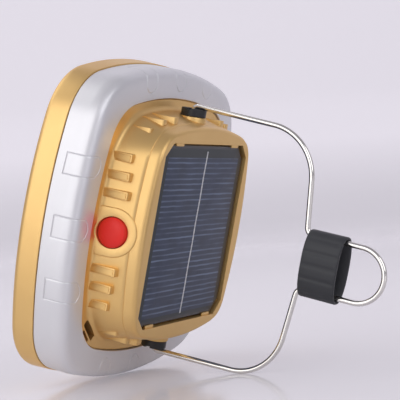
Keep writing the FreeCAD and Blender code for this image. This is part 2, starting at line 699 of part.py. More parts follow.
# ---------------------------------------------------------------- solar panel
def make_panel():
    parts = []
    for label, half, level, depth in (
            ("solar_panel", PANEL_HALF, PANEL_FRONT, length("panel_thickness")),
            ("panel_pad", PANEL_PAD_HALF, PANEL_BACK, length("panel_pad_thickness"))):
        body = new_body(label)
        sketch = new_sketch(body, "edge", "XZ_Plane", level)
        nick = half - length("window_chamfer")
        polygon(sketch, [(half, -nick), (half, nick), (nick, half), (-nick, half),
                         (-half, nick), (-half, -nick), (-nick, -half), (nick, -half)])
        pad(body, "plate", sketch, depth)
        parts.append(body)
    return parts


# ---------------------------------------------------------------- battery
def cell_places():
    half = length("cell_radius") + length("cell_gap") / 2.0
    return [length("cell_centre") - half, length("cell_centre") + half]


def make_battery():
    parts = []
    half = length("cell_length") / 2.0
    level = CELL_LEVEL
    for index, x in enumerate(cell_places(), start=1):
        can = cylinder("cell_can", "Z", length("cell_radius"), (x, level, -half),
                       length("cell_length") - length("cell_tip"))
        tip = cylinder("cell_button", "Z", length("cell_tip_radius"),
                       (x, level, half - length("cell_tip")), length("cell_tip"))
        parts.append(fuse(f"battery_cell_{index}", [can, tip]))
    contact = length("contact_size") / 2.0
    thick = length("contact_thickness")
    contacts = [box("contact", (x - contact, x + contact), (level - contact, level + contact), span)
                for x in cell_places() for span in ((-half - thick, -half), (half, half + thick))]
    parts.append(group("battery_contacts", contacts))
    first, last = cell_places()
    side = length("cell_radius") + length("cradle_margin")
    end = half + thick + length("cradle_wall")
    block = box("cradle_block", (first - side, last + side),
                (CELL_LEVEL + length("cradle_wrap"), CAVITY_END), (-end, end))
    ends = [box("cradle_end", (first - side, last + side),
                (level - contact, CAVITY_END), sorted([end * sign, (half + thick) * sign], key=number_of))
            for sign in (-1.0, 1.0)]
    hollows = [cylinder("cell_hollow", "Z", length("cell_radius") + length("slip"),
                        (x, level, -half - thick), length("cell_length") + thick * 2.0)
               for x in cell_places()]
    hollows.append(box("contact_room", (first - contact, last + contact),
                       (level - contact, level + contact), (-half - thick, half + thick)))
    case_room = new_body("case_room")
    pad(case_room, "room", bowed_square(case_room, "room_edge", RIM.inset(length("housing_skin")
        + length("slip")), CAVITY_END), CAVITY_END)
    blank = common("cradle_blank", [fuse("cradle_frame", [block] + ends), case_room])
    parts.append(cut("battery_holder", blank, fuse("cradle_room", hollows)))
    return parts


# ---------------------------------------------------------------- control board and button
def make_controls():
    level = BUTTON_LEVEL
    half = length("board_half_height")
    board = box("board_plate", (BOARD_OUTER - length("board_thickness"), BOARD_OUTER),
                (CAVITY_END - length("board_depth"), CAVITY_END), (-half, half))
    wide = length("switch_size") / 2.0
    room = length("plunger_radius") + length("slip")
    case = box("switch_case", (BOARD_OUTER, SWITCH_FACE), (level - wide, CAVITY_END), (-wide, wide))
    bore = cylinder("switch_bore", "-X", room, (SWITCH_FACE, level, ZERO),
                    length("plunger_grip") + length("button_travel") + length("plunger_spare"))
    switch = cut("push_switch", case, bore)
    plunger = cylinder("plunger_pin", "-X", length("plunger_radius"), (BUTTON_BASE, level, ZERO),
                       length("plunger_stand") + length("plunger_grip"))
    return [group("control_board", [board]), switch, group("switch_plunger", [plunger])]


def make_button():
    """Turned shape about the X axis: inner flange, stem and domed face."""
    body = new_body("button_cap")
    sketch = new_sketch(body, "half_section", "XY_Plane", ZERO)
    level = BUTTON_LEVEL
    radius = length("button_radius")
    face = PAD_FACE + length("button_stand")
    dome = length("button_dome")
    flange_top = BUTTON_BASE + length("button_flange")
    points = [(BUTTON_BASE, level), (BUTTON_BASE, level + BUTTON_FLANGE_RADIUS),
              (flange_top, level + BUTTON_FLANGE_RADIUS), (flange_top, level + radius),
              (face - dome, level + radius), (face - dome / 3.0, level + radius - dome),
              (face, level + length("button_flat")), (face, level)]
    polygon(sketch, points)
    turned = body.newObject("PartDesign::Revolution", "turned")
    turned.Profile = sketch
    turned.ReferenceAxis = (sketch, ["Edge8"])
    turned.Angle = 360
    document.recompute()
    return body


# ---------------------------------------------------------------- pivot discs
def make_pivot_discs():
    """Round caps on the bosses that turn with the wire and hold its bend in a groove."""
    parts = []
    bore = length("wire_radius") + length("pivot_slip")
    radius = length("disc_radius")
    for label, sign in (("top_disc", 1.0), ("bottom_disc", -1.0)):
        def span(low, high):
            return sorted([low * sign, high * sign], key=number_of)
        body = new_body(f"{label}_blank")
        sketch = new_sketch(body, "rim", "XY_Plane", span(DISC_BASE, DISC_TOP)[0])
        circle(sketch, "rim", ZERO, PIVOT_LEVEL, radius)
        pad(body, "disc", sketch, length("disc_height"))
        soften(body, "round", length("disc_round"),
               lambda edge: abs(edge.CenterOfMass.z - DISC_TOP.number * sign) < SAME_PLACE)
        over = DISC_TOP + length("disc_round")
        half = length("cross_slot_width") / 2.0
        end = radius + length("disc_round")
        holes = [cylinder("pin_bore", "Z", bore, (ZERO, PIVOT_LEVEL, span(DISC_BASE, over)[0]),
                          over - DISC_BASE),
                 box("bend_room", (-bore, bore), (PIVOT_LEVEL, PIVOT_LEVEL + length("pivot_bend")),
                     span(ARM_HEIGHT - length("pivot_bend"), over)),
                 box("arm_groove", (-bore, bore), (PIVOT_LEVEL, PIVOT_LEVEL + end),
                     span(ARM_HEIGHT - length("wire_radius") - length("groove_spare"), over)),
                 box("cross_slot", (-end, end), (PIVOT_LEVEL - half, PIVOT_LEVEL + half),
                     span(DISC_TOP - length("cross_slot_depth"), over))]
        item = cut(label, body, fuse(f"{label}_holes", holes))
        item.Placement = swung()
        parts.append(item)
    return parts


# ---------------------------------------------------------------- bail
def bail_corner_points():
    """Corners of one half of the bail in its own plane: reach out from the pivot, height."""
    leg = length("leg_height").number
    return [(0.0, ARM_HEIGHT.number - length("pin_depth").number), (0.0, ARM_HEIGHT.number),
            (length("shoulder_reach").number, SHOULDER_HEIGHT.number), (NECK_REACH.number, leg),
            (EYE_REACH.number - leg, leg)]


def corner_arc(before, corner, after, radius):
    """Arc of a given radius that rounds a corner: start, middle, end and centre."""
    entry = (before - corner).normalize()
    leave = (after - corner).normalize()
    half = entry.getAngle(leave) / 2
    centre = corner + (entry + leave).normalize() * (radius / math.sin(half))
    start = corner + entry * (radius / math.tan(half))
    end = corner + leave * (radius / math.tan(half))
    middle = centre + (corner - centre).normalize() * radius
    return start, middle, end, centre


def bail_point(reach, height):
    """A point of the bail's plane, which is swung about the upright pivot line."""
    swing = math.radians(length("bail_swing").number)
    return FreeCAD.Vector(reach * math.sin(swing),
                          PIVOT_LEVEL.number + reach * math.cos(swing), height)


def swung():
    """Placement that turns a part with the bail about the upright pivot line."""
    swing = FreeCAD.Rotation(FreeCAD.Vector(0, 0, 1), -length("bail_swing").number)
    pivot = FreeCAD.Vector(0, PIVOT_LEVEL.number, 0)
    return FreeCAD.Placement(pivot - swing.multVec(pivot), swing)


def bail_half(sign):
    """Edges of one half of the wire, from its pivot end to the start of the eye."""
    corners = [bail_point(reach, height * sign) for reach, height in bail_corner_points()]
    radii = [length(name).number for name in ("pivot_bend", "shoulder_bend", "neck_bend")]
    edges, at = [], corners[0]
    for index, radius in enumerate(radii, start=1):
        start, middle, end, _ = corner_arc(corners[index - 1], corners[index], corners[index + 1], radius)
        edges.append(Part.LineSegment(at, start).toShape())
        edges.append(Part.Arc(start, middle, end).toShape())
        at = end
    edges.append(Part.LineSegment(at, corners[-1]).toShape())
    return edges


def make_bail_wire():
    height = length("leg_height").number
    bend = EYE_REACH.number - height
    eye = Part.Arc(bail_point(bend, height), bail_point(bend + height, 0.0), bail_point(bend, -height))
    edges = bail_half(1.0) + [eye.toShape()] + bail_half(-1.0)
    path = Part.Wire(Part.__sortEdges__(edges))
    start = bail_point(0.0, bail_corner_points()[0][1])
    ring = Part.makeCircle(length("wire_radius").number, start, FreeCAD.Vector(0, 0, 1))
    shape = path.makePipeShell([Part.Wire([ring])], True, False)
    area = math.pi * length("wire_radius").number ** 2
    if abs(shape.Volume / (area * path.Length) - 1) > 0.01:
        raise RuntimeError("bail wire: volume does not match its length")
    item = document.addObject("Part::Feature", "bail_wire")
    item.Shape = shape
    return item


def oval(sketch, name, half_height, half_width):
    """A slot shape: two half circles joined by upright lines, in a sketch of X and Z."""
    rise = half_height - half_width
    number, radius = number_of(rise), number_of(half_width)
    normal = FreeCAD.Vector(0, 0, 1)
    top = Part.ArcOfCircle(Part.Circle(FreeCAD.Vector(0, number, 0), normal, radius), 0, math.pi)
    low = Part.ArcOfCircle(Part.Circle(FreeCAD.Vector(0, -number, 0), normal, radius), math.pi, 2 * math.pi)
    left = Part.LineSegment(FreeCAD.Vector(-radius, number, 0), FreeCAD.Vector(-radius, -number, 0))
    right = Part.LineSegment(FreeCAD.Vector(radius, -number, 0), FreeCAD.Vector(radius, number, 0))
    first = sketch.GeometryCount
    sketch.addGeometry([top, left, low, right], False)
    rule = Sketcher.Constraint
    sketch.addConstraint([rule("Tangent", first + i, 2, first + (i + 1) % 4, 1) for i in range(4)])
    sketch.addConstraint([rule("PointOnObject", first, 3, -2),
                          rule("Symmetric", first, 3, first + 2, 3, -1, 1)])
    fix(sketch, f"{name}_radius", rule("Radius", first, radius), half_width)
    fix(sketch, f"{name}_rise", rule("DistanceY", -1, 1, first, 3, number), rise)


def make_collar():
    """A flattened sleeve round the wire's two legs, fluted on its broad faces."""
    body = new_body("collar_sleeve")
    start = PIVOT_LEVEL + COLLAR_START
    tip = start + length("collar_length")
    bore_height = length("leg_height") + length("wire_radius") + length("leg_slip")
    half_height = bore_height + length("collar_wall")
    sketch = new_sketch(body, "outer", "XZ_Plane", tip)
    oval(sketch, "outer", half_height, length("collar_half_width"))
    pad(body, "sleeve", sketch, length("collar_length"))
    bore = new_sketch(body, "bore", "XZ_Plane", start)
    oval(bore, "bore", bore_height, length("collar_half_width") - length("collar_side_wall"))
    pocket(body, "bore_cut", bore, length("collar_length"))
    count = int(length("flute_count").number)
    reach = length("collar_half_width").number
    out = reach + length("flute_stand").number
    rise = half_height.number - reach
    flutes = []
    for side in (-1.0, 1.0):
        for index in range(count):
            height = length("flute_pitch").number * (index - (count - 1) / 2)
            bend = math.asin(max(abs(height) - rise, 0.0) / reach)
            place = (out * math.cos(bend) * side,
                     math.copysign(min(abs(height), rise) + out * math.sin(bend), height))
            flutes.append(cylinder("flute", "Y", length("flute_radius"),
                                   (Size(repr(place[0]), place[0]), start, Size(repr(place[1]), place[1])),
                                   length("collar_length")))
    item = cut("bail_collar", body, fuse("flutes", flutes))
    item.Placement = swung()
    return item


# ---------------------------------------------------------------- stance
def stance():
    """Placement that leans the lantern back onto the ring's rear edge and the bail's shoulder.

    Both touch the floor with a round edge, so the lean is the slope of the line that is tangent
    to both circles: the slope between their centres, less the angle whose sine is the
    difference of their radii over the distance between the centres.
    """
    edge_round = length("ring_edge_round").number
    edge_y = STEP_LEVEL.number - edge_round
    edge_z = edge_round - length("ring_half").number
    corners = [bail_point(reach, -height) for reach, height in bail_corner_points()]
    bend = length("shoulder_bend").number
    centre = corner_arc(corners[1], corners[2], corners[3], bend)[3]
    reach = math.hypot(centre.y - edge_y, centre.z - edge_z)
    slope = math.atan2(centre.z - edge_z, centre.y - edge_y)
    lean = slope - math.asin((bend + length("wire_radius").number - edge_round) / reach)
    turn = FreeCAD.Rotation(FreeCAD.Vector(1, 0, 0), -math.degrees(lean))
    lowest = turn.multVec(FreeCAD.Vector(0, edge_y, edge_z)).z - edge_round
    return FreeCAD.Placement(FreeCAD.Vector(0, 0, -lowest), turn)


def centred(placement, parts):
    """The stance, shifted along Y until the leaned parts are centred over the origin."""
    boxes = [part.Shape.transformed(placement.Matrix, True).optimalBoundingBox() for part in parts]
    middle = (min(box.YMin for box in boxes) + max(box.YMax for box in boxes)) / 2
    return FreeCAD.Placement(placement.Base - FreeCAD.Vector(0, middle, 0), placement.Rotation)


subparts = [make_front_bezel(), make_front_lens(), make_lens_seal(), make_reflector(),
            make_ring_shell(), make_rear_housing(), make_case_screws(), make_button(),
            make_bail_wire(), make_collar()]
subparts += make_led_stack() + make_panel() + make_battery() + make_controls() + make_pivot_discs()
document.recompute()

floor_stance = centred(stance(), subparts)
for part in subparts:
    part.Placement = floor_stance.multiply(part.Placement)
document.recompute()
print("lean", math.degrees(floor_stance.Rotation.Angle), "base", floor_stance.Base)

for item in document.Objects:
    if "Invalid" in item.State or "Error" in item.State:
        raise RuntimeError(f"{item.Label} failed to compute")
os.makedirs("parts", exist_ok=True)
for part in subparts:
    if part.Shape.isNull() or not part.Shape.isValid():
        raise RuntimeError(f"{part.Label} has no valid shape")
    part.Shape.exportStep(f"parts/{part.Label}.step")
    bounds = part.Shape.optimalBoundingBox()
    print(f"{part.Label:18s} solids {len(part.Shape.Solids)} volume {part.Shape.Volume:9.1f}"
          f"  {bounds.XMin:7.2f} {bounds.XMax:7.2f} {bounds.YMin:7.2f} {bounds.YMax:7.2f}"
          f" {bounds.ZMin:7.2f} {bounds.ZMax:7.2f}")
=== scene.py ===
"""Solar lantern: the looks of every piece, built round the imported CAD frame.

Shapes are worked out in the lantern's own upright frame, in millimetres: +Y out of the solar
panel, -Y out of the lamp face, +Z through both bail pivots, and y = 0 between the gold bezel
and the silver ring. Stance leans them back into the row's frame, in metres.
"""

import json
import logging
import math
from dataclasses import dataclass
from enum import Enum
from typing import Sequence

import bmesh
import bpy
import numpy as np
from mathutils import Matrix, Vector


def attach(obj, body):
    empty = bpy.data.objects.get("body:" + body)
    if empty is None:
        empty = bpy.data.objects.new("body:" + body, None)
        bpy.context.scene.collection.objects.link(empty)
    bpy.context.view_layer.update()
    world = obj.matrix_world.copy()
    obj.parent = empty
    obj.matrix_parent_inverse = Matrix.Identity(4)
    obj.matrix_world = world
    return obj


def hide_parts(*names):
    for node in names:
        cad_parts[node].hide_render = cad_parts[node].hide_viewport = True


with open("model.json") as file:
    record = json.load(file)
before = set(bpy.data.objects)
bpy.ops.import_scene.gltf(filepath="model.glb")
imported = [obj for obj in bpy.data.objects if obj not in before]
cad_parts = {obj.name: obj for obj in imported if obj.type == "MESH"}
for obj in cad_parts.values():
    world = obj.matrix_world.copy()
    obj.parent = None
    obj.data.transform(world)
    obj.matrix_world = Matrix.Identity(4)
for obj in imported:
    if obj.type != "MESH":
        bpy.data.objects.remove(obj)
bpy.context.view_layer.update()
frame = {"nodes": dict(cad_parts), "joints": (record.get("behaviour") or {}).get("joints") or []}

LOG = logging.getLogger("lantern")
MM = 0.001
MERGE_NEARER = 0.0002
LEAST_RADIUS = 0.08


class Rides(Enum):
    """The moving bodies that pieces ride on."""

    LANTERN = "lantern"
    BUTTON = "button"
    BAIL = "bail"
    COLLAR = "collar"


# ---- placing
@dataclass(frozen=True)
class Stance:
    """How the lantern's own frame stands in the row's frame: a turn, then a shift."""

    turn: np.ndarray
    shift: np.ndarray

    @classmethod
    def from_bail(cls, joint: dict, pivot_level: float) -> "Stance":
        """Read the lean from the bail's pivot, which is the lantern's own Z axis.

        Args:
            joint: the record's entry for the bail's hinge.
            pivot_level: the pivot's own Y, in millimetres.

        Returns:
            The stance whose turn is about X and carries own Z onto the hinge's axis.
        """
        _, lean_sine, lean_cosine = joint["axis"]
        turn = np.array([[1.0, 0.0, 0.0],
                         [0.0, lean_cosine, lean_sine],
                         [0.0, -lean_sine, lean_cosine]])
        pivot = np.array(joint["pos_m"]) / MM
        return cls(turn, pivot - turn @ np.array([0.0, pivot_level, 0.0]))

    def place(self, points: np.ndarray) -> np.ndarray:
        """Carry own points, in millimetres, into the row's frame, in metres."""
        return (points @ self.turn.T + self.shift) * MM

    def aim(self, direction: Sequence[float]) -> np.ndarray:
        """Turn an own direction into the row's frame."""
        return self.turn @ np.array(direction, float)


# ---- outlines
@dataclass(frozen=True)
class Station:
    """One section of a shell: a bowed square at a level, or a square with cut corners.

    square is 0 for the bowed square and 1 for the plain square whose corners are cut by nick.
    """

    half: float
    bow: float
    corner: float
    level: float
    square: float = 0.0
    nick: float = 0.0

    def inset(self, step: float, level: float | None = None) -> "Station":
        """The parallel outline a step further in, at this level or another."""
        place = self.level if level is None else level
        return Station(self.half - step, self.bow - step, self.corner - step, place,
                       self.square, self.nick)

    def row(self) -> list[float]:
        """The station's numbers in the order that Profile keeps them."""
        return [self.half, self.bow, self.corner, self.level, self.square, self.nick]


class Profile:
    """A run of stations whose corners are eased, addressed by the length along it."""

    def __init__(self, stations: Sequence[Station], setbacks: Sequence[float], steps: int = 6):
        """Ease each inner corner with a quadratic curve.

        The curve starts and ends a setback away from the corner along its two runs, and its
        point is (1-t)^2 A + 2t(1-t) B + t^2 C, worked on all numbers of the station at once.

        Args:
            stations: the corners of the profile, in order.
            setbacks: how far each corner's curve reaches, in millimetres; 0 keeps it sharp.
            steps: points on each curve.
        """
        knots = np.array([station.row() for station in stations])
        rows = [knots[0]]
        for before, corner, after, setback in zip(knots, knots[1:], knots[2:], setbacks[1:]):
            if setback == 0.0:
                rows.append(corner)
                continue
            start = self._towards(corner, before, setback)
            end = self._towards(corner, after, setback)
            blend = np.linspace(0.0, 1.0, steps)[:, None]
            rows.extend((1 - blend) ** 2 * start + 2 * blend * (1 - blend) * corner
                        + blend ** 2 * end)
        rows.append(knots[-1])
        self.rows = np.array(rows)
        runs = np.hypot(np.diff(self.rows[:, 0]), np.diff(self.rows[:, 3]))
        self.lengths = np.concatenate([[0.0], np.cumsum(np.maximum(runs, 1e-6))])

    @staticmethod
    def _towards(corner: np.ndarray, other: np.ndarray, setback: float) -> np.ndarray:
        """The point a setback away from a corner, at most half way to its neighbour."""
        run = math.hypot(other[0] - corner[0], other[3] - corner[3])
        return corner + (other - corner) * min(setback / max(run, 1e-6), 0.5)

    def at(self, lengths: np.ndarray) -> np.ndarray:
        """Stations at lengths along the profile, as an array with the numbers last."""
        return np.stack([np.interp(lengths, self.lengths, column) for column in self.rows.T],
                        axis=-1)

    def spaced(self, step: float) -> np.ndarray:
        """Lengths at the profile's own points, with long runs divided to about a step."""
        marks = [self.lengths[:1]]
        for low, high in zip(self.lengths[:-1], self.lengths[1:]):
            count = max(1, math.ceil((high - low) / step))
            marks.append(np.linspace(low, high, count + 1)[1:])
        return np.concatenate(marks)


@dataclass(frozen=True)
class Columns:
    """Where the columns of a shell's grid cross its outline.

    arc numbers the eight arcs, even for sides and odd for corners. place runs from -1 to 1
    along a side and from 0 to 1 round a corner.
    """

    arc: np.ndarray
    place: np.ndarray

    @classmethod
    def round(cls, side: np.ndarray, corner_steps: int) -> "Columns":
        """Columns all the way round: the same places on each side and each corner."""
        corner = np.linspace(0.0, 1.0, corner_steps + 2)[1:-1]
        arcs, places = [], []
        for quarter in range(4):
            arcs += [np.full(len(side), 2 * quarter), np.full(len(corner), 2 * quarter + 1)]
            places += [side, corner]
        return cls(np.concatenate(arcs), np.concatenate(places))


PLAIN_COLUMNS = Columns.round(np.linspace(-1.0, 1.0, 41), 11)
FLAT_SHARE = 0.8
FLAT_REACH = 32.0


def side_across(place: np.ndarray, end: np.ndarray) -> np.ndarray:
    """Distance across a side for a column's place.

    The inner share of the columns keeps its distance from the middle on every station, so
    that lines engraved there stay straight; the rest spread to the end of the side's arc.
    """
    size = np.abs(place)
    flat = np.minimum(FLAT_REACH, 0.9 * end)
    inner = flat * size / FLAT_SHARE
    outer = flat + (end - flat) * (size - FLAT_SHARE) / (1 - FLAT_SHARE)
    return np.sign(place) * np.where(size <= FLAT_SHARE, inner, outer)


def shell_points(stations: np.ndarray, columns: Columns) -> np.ndarray:
    """Points of a shell for rows of stations and columns round the outline.

    A side is an arc of the bow's radius about a point on the axis; a corner is an arc of the
    corner's radius that is tangent to both its sides, which puts its centre on the diagonal.
    A square section takes the same columns along its straight sides and cut corners.

    Args:
        stations: array (rows, columns or 1, 6) as Profile.at gives.
        columns: the arc and place of each column.

    Returns:
        Array (rows, columns, 3) of own points, in millimetres.
    """
    half, bow, corner, level, square, nick = np.moveaxis(stations, -1, 0)
    reach = bow - half
    centre = (np.sqrt(np.maximum(4 * reach ** 2 - 8 * (reach ** 2 - (bow - corner) ** 2), 0.0))
              - 2 * reach) / 4
    slope = np.arctan2(centre, centre + reach)
    quarter = (columns.arc // 2) * (math.pi / 2)
    on_side = columns.arc % 2 == 0
    across = side_across(columns.place, bow * np.sin(slope))
    side_x = half - bow + np.sqrt(np.maximum(bow ** 2 - across ** 2, 0.0))
    turn = slope + columns.place * (math.pi / 2 - 2 * slope)
    east = np.where(on_side, side_x, centre + corner * np.cos(turn))
    north = np.where(on_side, across, centre + corner * np.sin(turn))
    flat = half - nick
    square_across = side_across(columns.place, flat)
    square_east = np.where(on_side, half, half - nick * columns.place)
    square_north = np.where(on_side, square_across, flat + nick * columns.place)
    east = (1 - square) * east + square * square_east
    north = (1 - square) * north + square * square_north
    x = east * np.cos(quarter) - north * np.sin(quarter)
    z = east * np.sin(quarter) + north * np.cos(quarter)
    return np.stack([x, np.broadcast_to(level, x.shape), z], axis=-1)


def shell(stations: Sequence[Station], setbacks: Sequence[float] = (), steps: int = 6,
          spacing: float = 0.0) -> np.ndarray:
    """A shell of plain columns through stations.

    Args:
        stations: the corners of its profile, in order.
        setbacks: as Profile takes them; none keeps every corner sharp.
        steps: points on each eased corner.
        spacing: long runs are divided to about this, in millimetres; 0 leaves them whole.

    Returns:
        Array (rows, columns, 3) of own points, in millimetres.
    """
    profile = Profile(stations, setbacks or [0.0] * len(stations), steps)
    lengths = profile.spaced(spacing) if spacing else profile.lengths
    return shell_points(profile.at(lengths)[:, None], PLAIN_COLUMNS)


def grid_normals(grid: np.ndarray) -> np.ndarray:
    """Unit normals of a grid that wraps round its columns: columns' slope cross rows' slope.

    They point into a shell whose outer rows run along +Y and whose columns turn from X to Z.
    """
    down = np.gradient(grid, axis=0)
    across = np.roll(grid, -1, axis=1) - np.roll(grid, 1, axis=1)
    normal = np.cross(across, down)
    return normal / np.maximum(np.linalg.norm(normal, axis=-1, keepdims=True), 1e-9)


# ---- meshes
class Surface:
    """Vertices and faces gathered from grids, made into one object at the end."""

    def __init__(self) -> None:
        """Start with nothing."""
        self.points: list[np.ndarray] = []
        self.faces: list[tuple[int, ...]] = []
        self.count = 0

    def _add_points(self, points: np.ndarray) -> int:
        """Append points and return the number of the first."""
        first = self.count
        self.points.append(points.reshape(-1, 3))
        self.count += len(self.points[-1])
        return first

    def grid(self, grid: np.ndarray, ring: bool = False) -> "Surface":
        """Add a grid of points as quads; its last column always joins its first.

        Args:
            grid: array (rows, columns, 3) of own points.
            ring: join the last row to the first; otherwise a fan closes each end.

        Returns:
            This surface, so that calls can follow each other.
        """
        rows, columns = grid.shape[:2]
        number = self._add_points(grid) + np.arange(rows * columns).reshape(rows, columns)
        below = np.roll(number, -1, axis=0)
        quads = np.stack([number, np.roll(number, -1, axis=1), np.roll(below, -1, axis=1), below],
                         axis=-1)[:rows if ring else rows - 1]
        self.faces.extend(map(tuple, quads.reshape(-1, 4).tolist()))
        for row in () if ring else (0, rows - 1):
            middle = np.full(columns, self._add_points(grid[row].mean(axis=0)))
            fans = np.stack([number[row], np.roll(number[row], -1), middle], axis=-1)
            self.faces.extend(map(tuple, fans.tolist()))
        return self

    def build(self, name: str, stance: Stance, sharp: float = 35.0,
              mapped: bool = False) -> bpy.types.Object:
        """Make the object, with its faces turned outwards and smooth below an angle.

        Args:
            name: the piece's name.
            stance: how own points are placed.
            sharp: faces that meet at more than this, in degrees, keep a crisp edge.
            mapped: give it a UV map of own X and Z, in millimetres.

        Returns:
            The new object, at the origin, with its place in its mesh.
        """
        mesh = bpy.data.meshes.new(name)
        mesh.from_pydata(stance.place(np.concatenate(self.points)).tolist(), [], self.faces)
        work = bmesh.new()
        work.from_mesh(mesh)
        bmesh.ops.remove_doubles(work, verts=work.verts, dist=MERGE_NEARER * MM)
        bmesh.ops.dissolve_degenerate(work, edges=work.edges, dist=MERGE_NEARER * MM)
        bmesh.ops.recalc_face_normals(work, faces=work.faces)
        work.to_mesh(mesh)
        work.free()
        mesh.shade_smooth()
        mesh.set_sharp_from_angle(angle=math.radians(sharp))
        if mapped:
            places = np.zeros(len(mesh.vertices) * 3)
            mesh.vertices.foreach_get("co", places)
            back = (places.reshape(-1, 3) / MM - stance.shift) @ stance.turn
            corners = np.zeros(len(mesh.loops), int)
            mesh.loops.foreach_get("vertex_index", corners)
            layer = mesh.uv_layers.new(name="own")
            layer.uv.foreach_set("vector", back[corners][:, [0, 2]].ravel())
        return linked(name, mesh)


def linked(name: str, data: bpy.types.ID) -> bpy.types.Object:
    """A new object of a mesh, light or camera, in the scene's own collection."""
    item = bpy.data.objects.new(name, data)
    bpy.context.scene.collection.objects.link(item)
    return item


def rounded_loop(wide: float, tall: float, radius: float, steps: int = 6) -> np.ndarray:
    """A rectangle with round corners about the origin: four quarter circles, joined."""
    loops = []
    for quarter, (east, north) in enumerate(((1, 1), (-1, 1), (-1, -1), (1, -1))):
        angle = np.linspace(0.0, math.pi / 2, steps) + quarter * math.pi / 2
        loops.append(np.stack([np.cos(angle), np.sin(angle)], axis=-1) * radius
                     + [east * (wide / 2 - radius), north * (tall / 2 - radius)])
    return np.concatenate(loops)


def stacked(low: Sequence[float], high: Sequence[float], axis: int, radius: float,
            rows: Sequence[tuple[float, float]], steps: int = 6) -> np.ndarray:
    """Rounded rectangles one after the other along an own axis.

    Args:
        low: lowest own corner of the block that holds them.
        high: highest own corner.
        axis: 0, 1 or 2, the way the rows follow each other.
        radius: the corners' radius about that axis.
        rows: how far each row shrinks and where it lies along the axis.
        steps: points on each round corner.

    Returns:
        Grid of points with one row to each rectangle.
    """
    low, high = np.array(low, float), np.array(high, float)
    first, second = [other for other in range(3) if other != axis]
    size, middle = high - low, (high + low) / 2
    grid = np.zeros((len(rows), 4 * steps, 3)) + middle
    for row, (shrink, place) in zip(grid, rows):
        row[:, [first, second]] += rounded_loop(size[first] - 2 * shrink, size[second] - 2 * shrink,
                                                max(radius - shrink, LEAST_RADIUS), steps)
        row[:, axis] = place
    return grid


def soft_block(low: Sequence[float], high: Sequence[float], axis: int, radius: float,
               edge: float) -> np.ndarray:
    """A block as stacked takes it, with a rim of radius edge eased at both ends.

    Rows follow a quarter circle in from each end: the loop shrinks by edge*(1 - sin t) while
    the level moves by edge*(1 - cos t).
    """
    rim = [(edge * (1 - math.sin(t)), edge * (1 - math.cos(t)))
           for t in np.linspace(0.0, math.pi / 2, 5)]
    rows = [(shrink, low[axis] + rise) for shrink, rise in rim]
    rows += [(shrink, high[axis] - rise) for shrink, rise in reversed(rim)]
    return stacked(low, high, axis, radius, rows)


def turned(profile: Sequence[tuple[float, float]], axis: int, centre: Sequence[float],
           steps: int = 64) -> np.ndarray:
    """A shape turned about an own axis: each profile point is (place along it, radius).

    Args:
        profile: points from one end to the other.
        axis: 0 for X, 1 for Y, 2 for Z.
        centre: own point that the axis passes through; its part along the axis is added.
        steps: points round.

    Returns:
        Grid of points with one row to each profile point.
    """
    first, second = [other for other in range(3) if other != axis]
    angle = np.linspace(0.0, 2 * math.pi, steps, endpoint=False)
    along, radius = np.array(profile, float).T
    grid = np.zeros((len(along), steps, 3))
    grid[:, :, axis] = along[:, None]
    grid[:, :, first] = radius[:, None] * np.cos(angle)
    grid[:, :, second] = radius[:, None] * np.sin(angle)
    return grid + np.array(centre, float)


def tube(path: np.ndarray, radius: float, normal: np.ndarray) -> np.ndarray:
    """A round tube along a flat path: circles in the plane of the path's side and its normal."""
    ahead = np.gradient(path, axis=0)
    ahead /= np.linalg.norm(ahead, axis=1, keepdims=True)
    side = np.cross(ahead, normal)
    angle = np.linspace(0.0, 2 * math.pi, 20, endpoint=False)[None, :, None]
    return path[:, None] + radius * (np.cos(angle) * side[:, None] + np.sin(angle) * normal)


# ---- finishes
Colour = tuple[float, float, float]
Socket = bpy.types.NodeSocket
Feed = Socket | float | Colour


class Graph:
    """The nodes of one new material, each added, fed and linked in one call."""

    def __init__(self, name: str) -> None:
        """Start a material that holds its shader and output alone."""
        self.material = bpy.data.materials.new(name)
        self.material.use_nodes = True
        self.nodes, self.links = self.material.node_tree.nodes, self.material.node_tree.links

    def feed(self, socket: Socket, value: Feed) -> None:
        """Link an input to another node's output, or set it to a number or a colour."""
        if isinstance(value, Socket):
            self.links.new(value, socket)
        else:
            socket.default_value = (*value, 1.0) if socket.type == "RGBA" else value

    def add(self, kind: str, output: str, inputs: dict[str, Feed], **options: str) -> Socket:
        """Add a shader node of a kind with its options and inputs, and return an output."""
        node = self.nodes.new("ShaderNode" + kind)
        for option, choice in options.items():
            setattr(node, option, choice)
        for name, value in inputs.items():
            self.feed(node.inputs[name], value)
        return node.outputs[output]

    def noise(self, place: Feed, scale: float, detail: float) -> Socket:
        """Add a noise texture, whose value runs from 0 to 1."""
        return self.add("TexNoise", "Fac", {"Vector": place, "Scale": scale, "Detail": detail})

    def mix(self, factor: Feed, first: Feed, second: Feed) -> Socket:
        """Add a mix of two colours, which is the first at factor 0."""
        return self.add("Mix", "Result", {"Factor": factor, "A": first, "B": second},
                        data_type="RGBA")

    def math(self, kind: str, *values: Feed) -> Socket:
        """Add a Math node of a kind."""
        result = self.add("Math", "Value", {}, operation=kind)
        for socket, value in zip(result.node.inputs, values):
            self.feed(socket, value)
        return result

    def finish(self, inputs: dict[str, Feed]) -> bpy.types.Material:
        """Feed the shader and return the material."""
        for name, value in inputs.items():
            self.feed(self.nodes["Principled BSDF"].inputs[name], value)
        return self.material


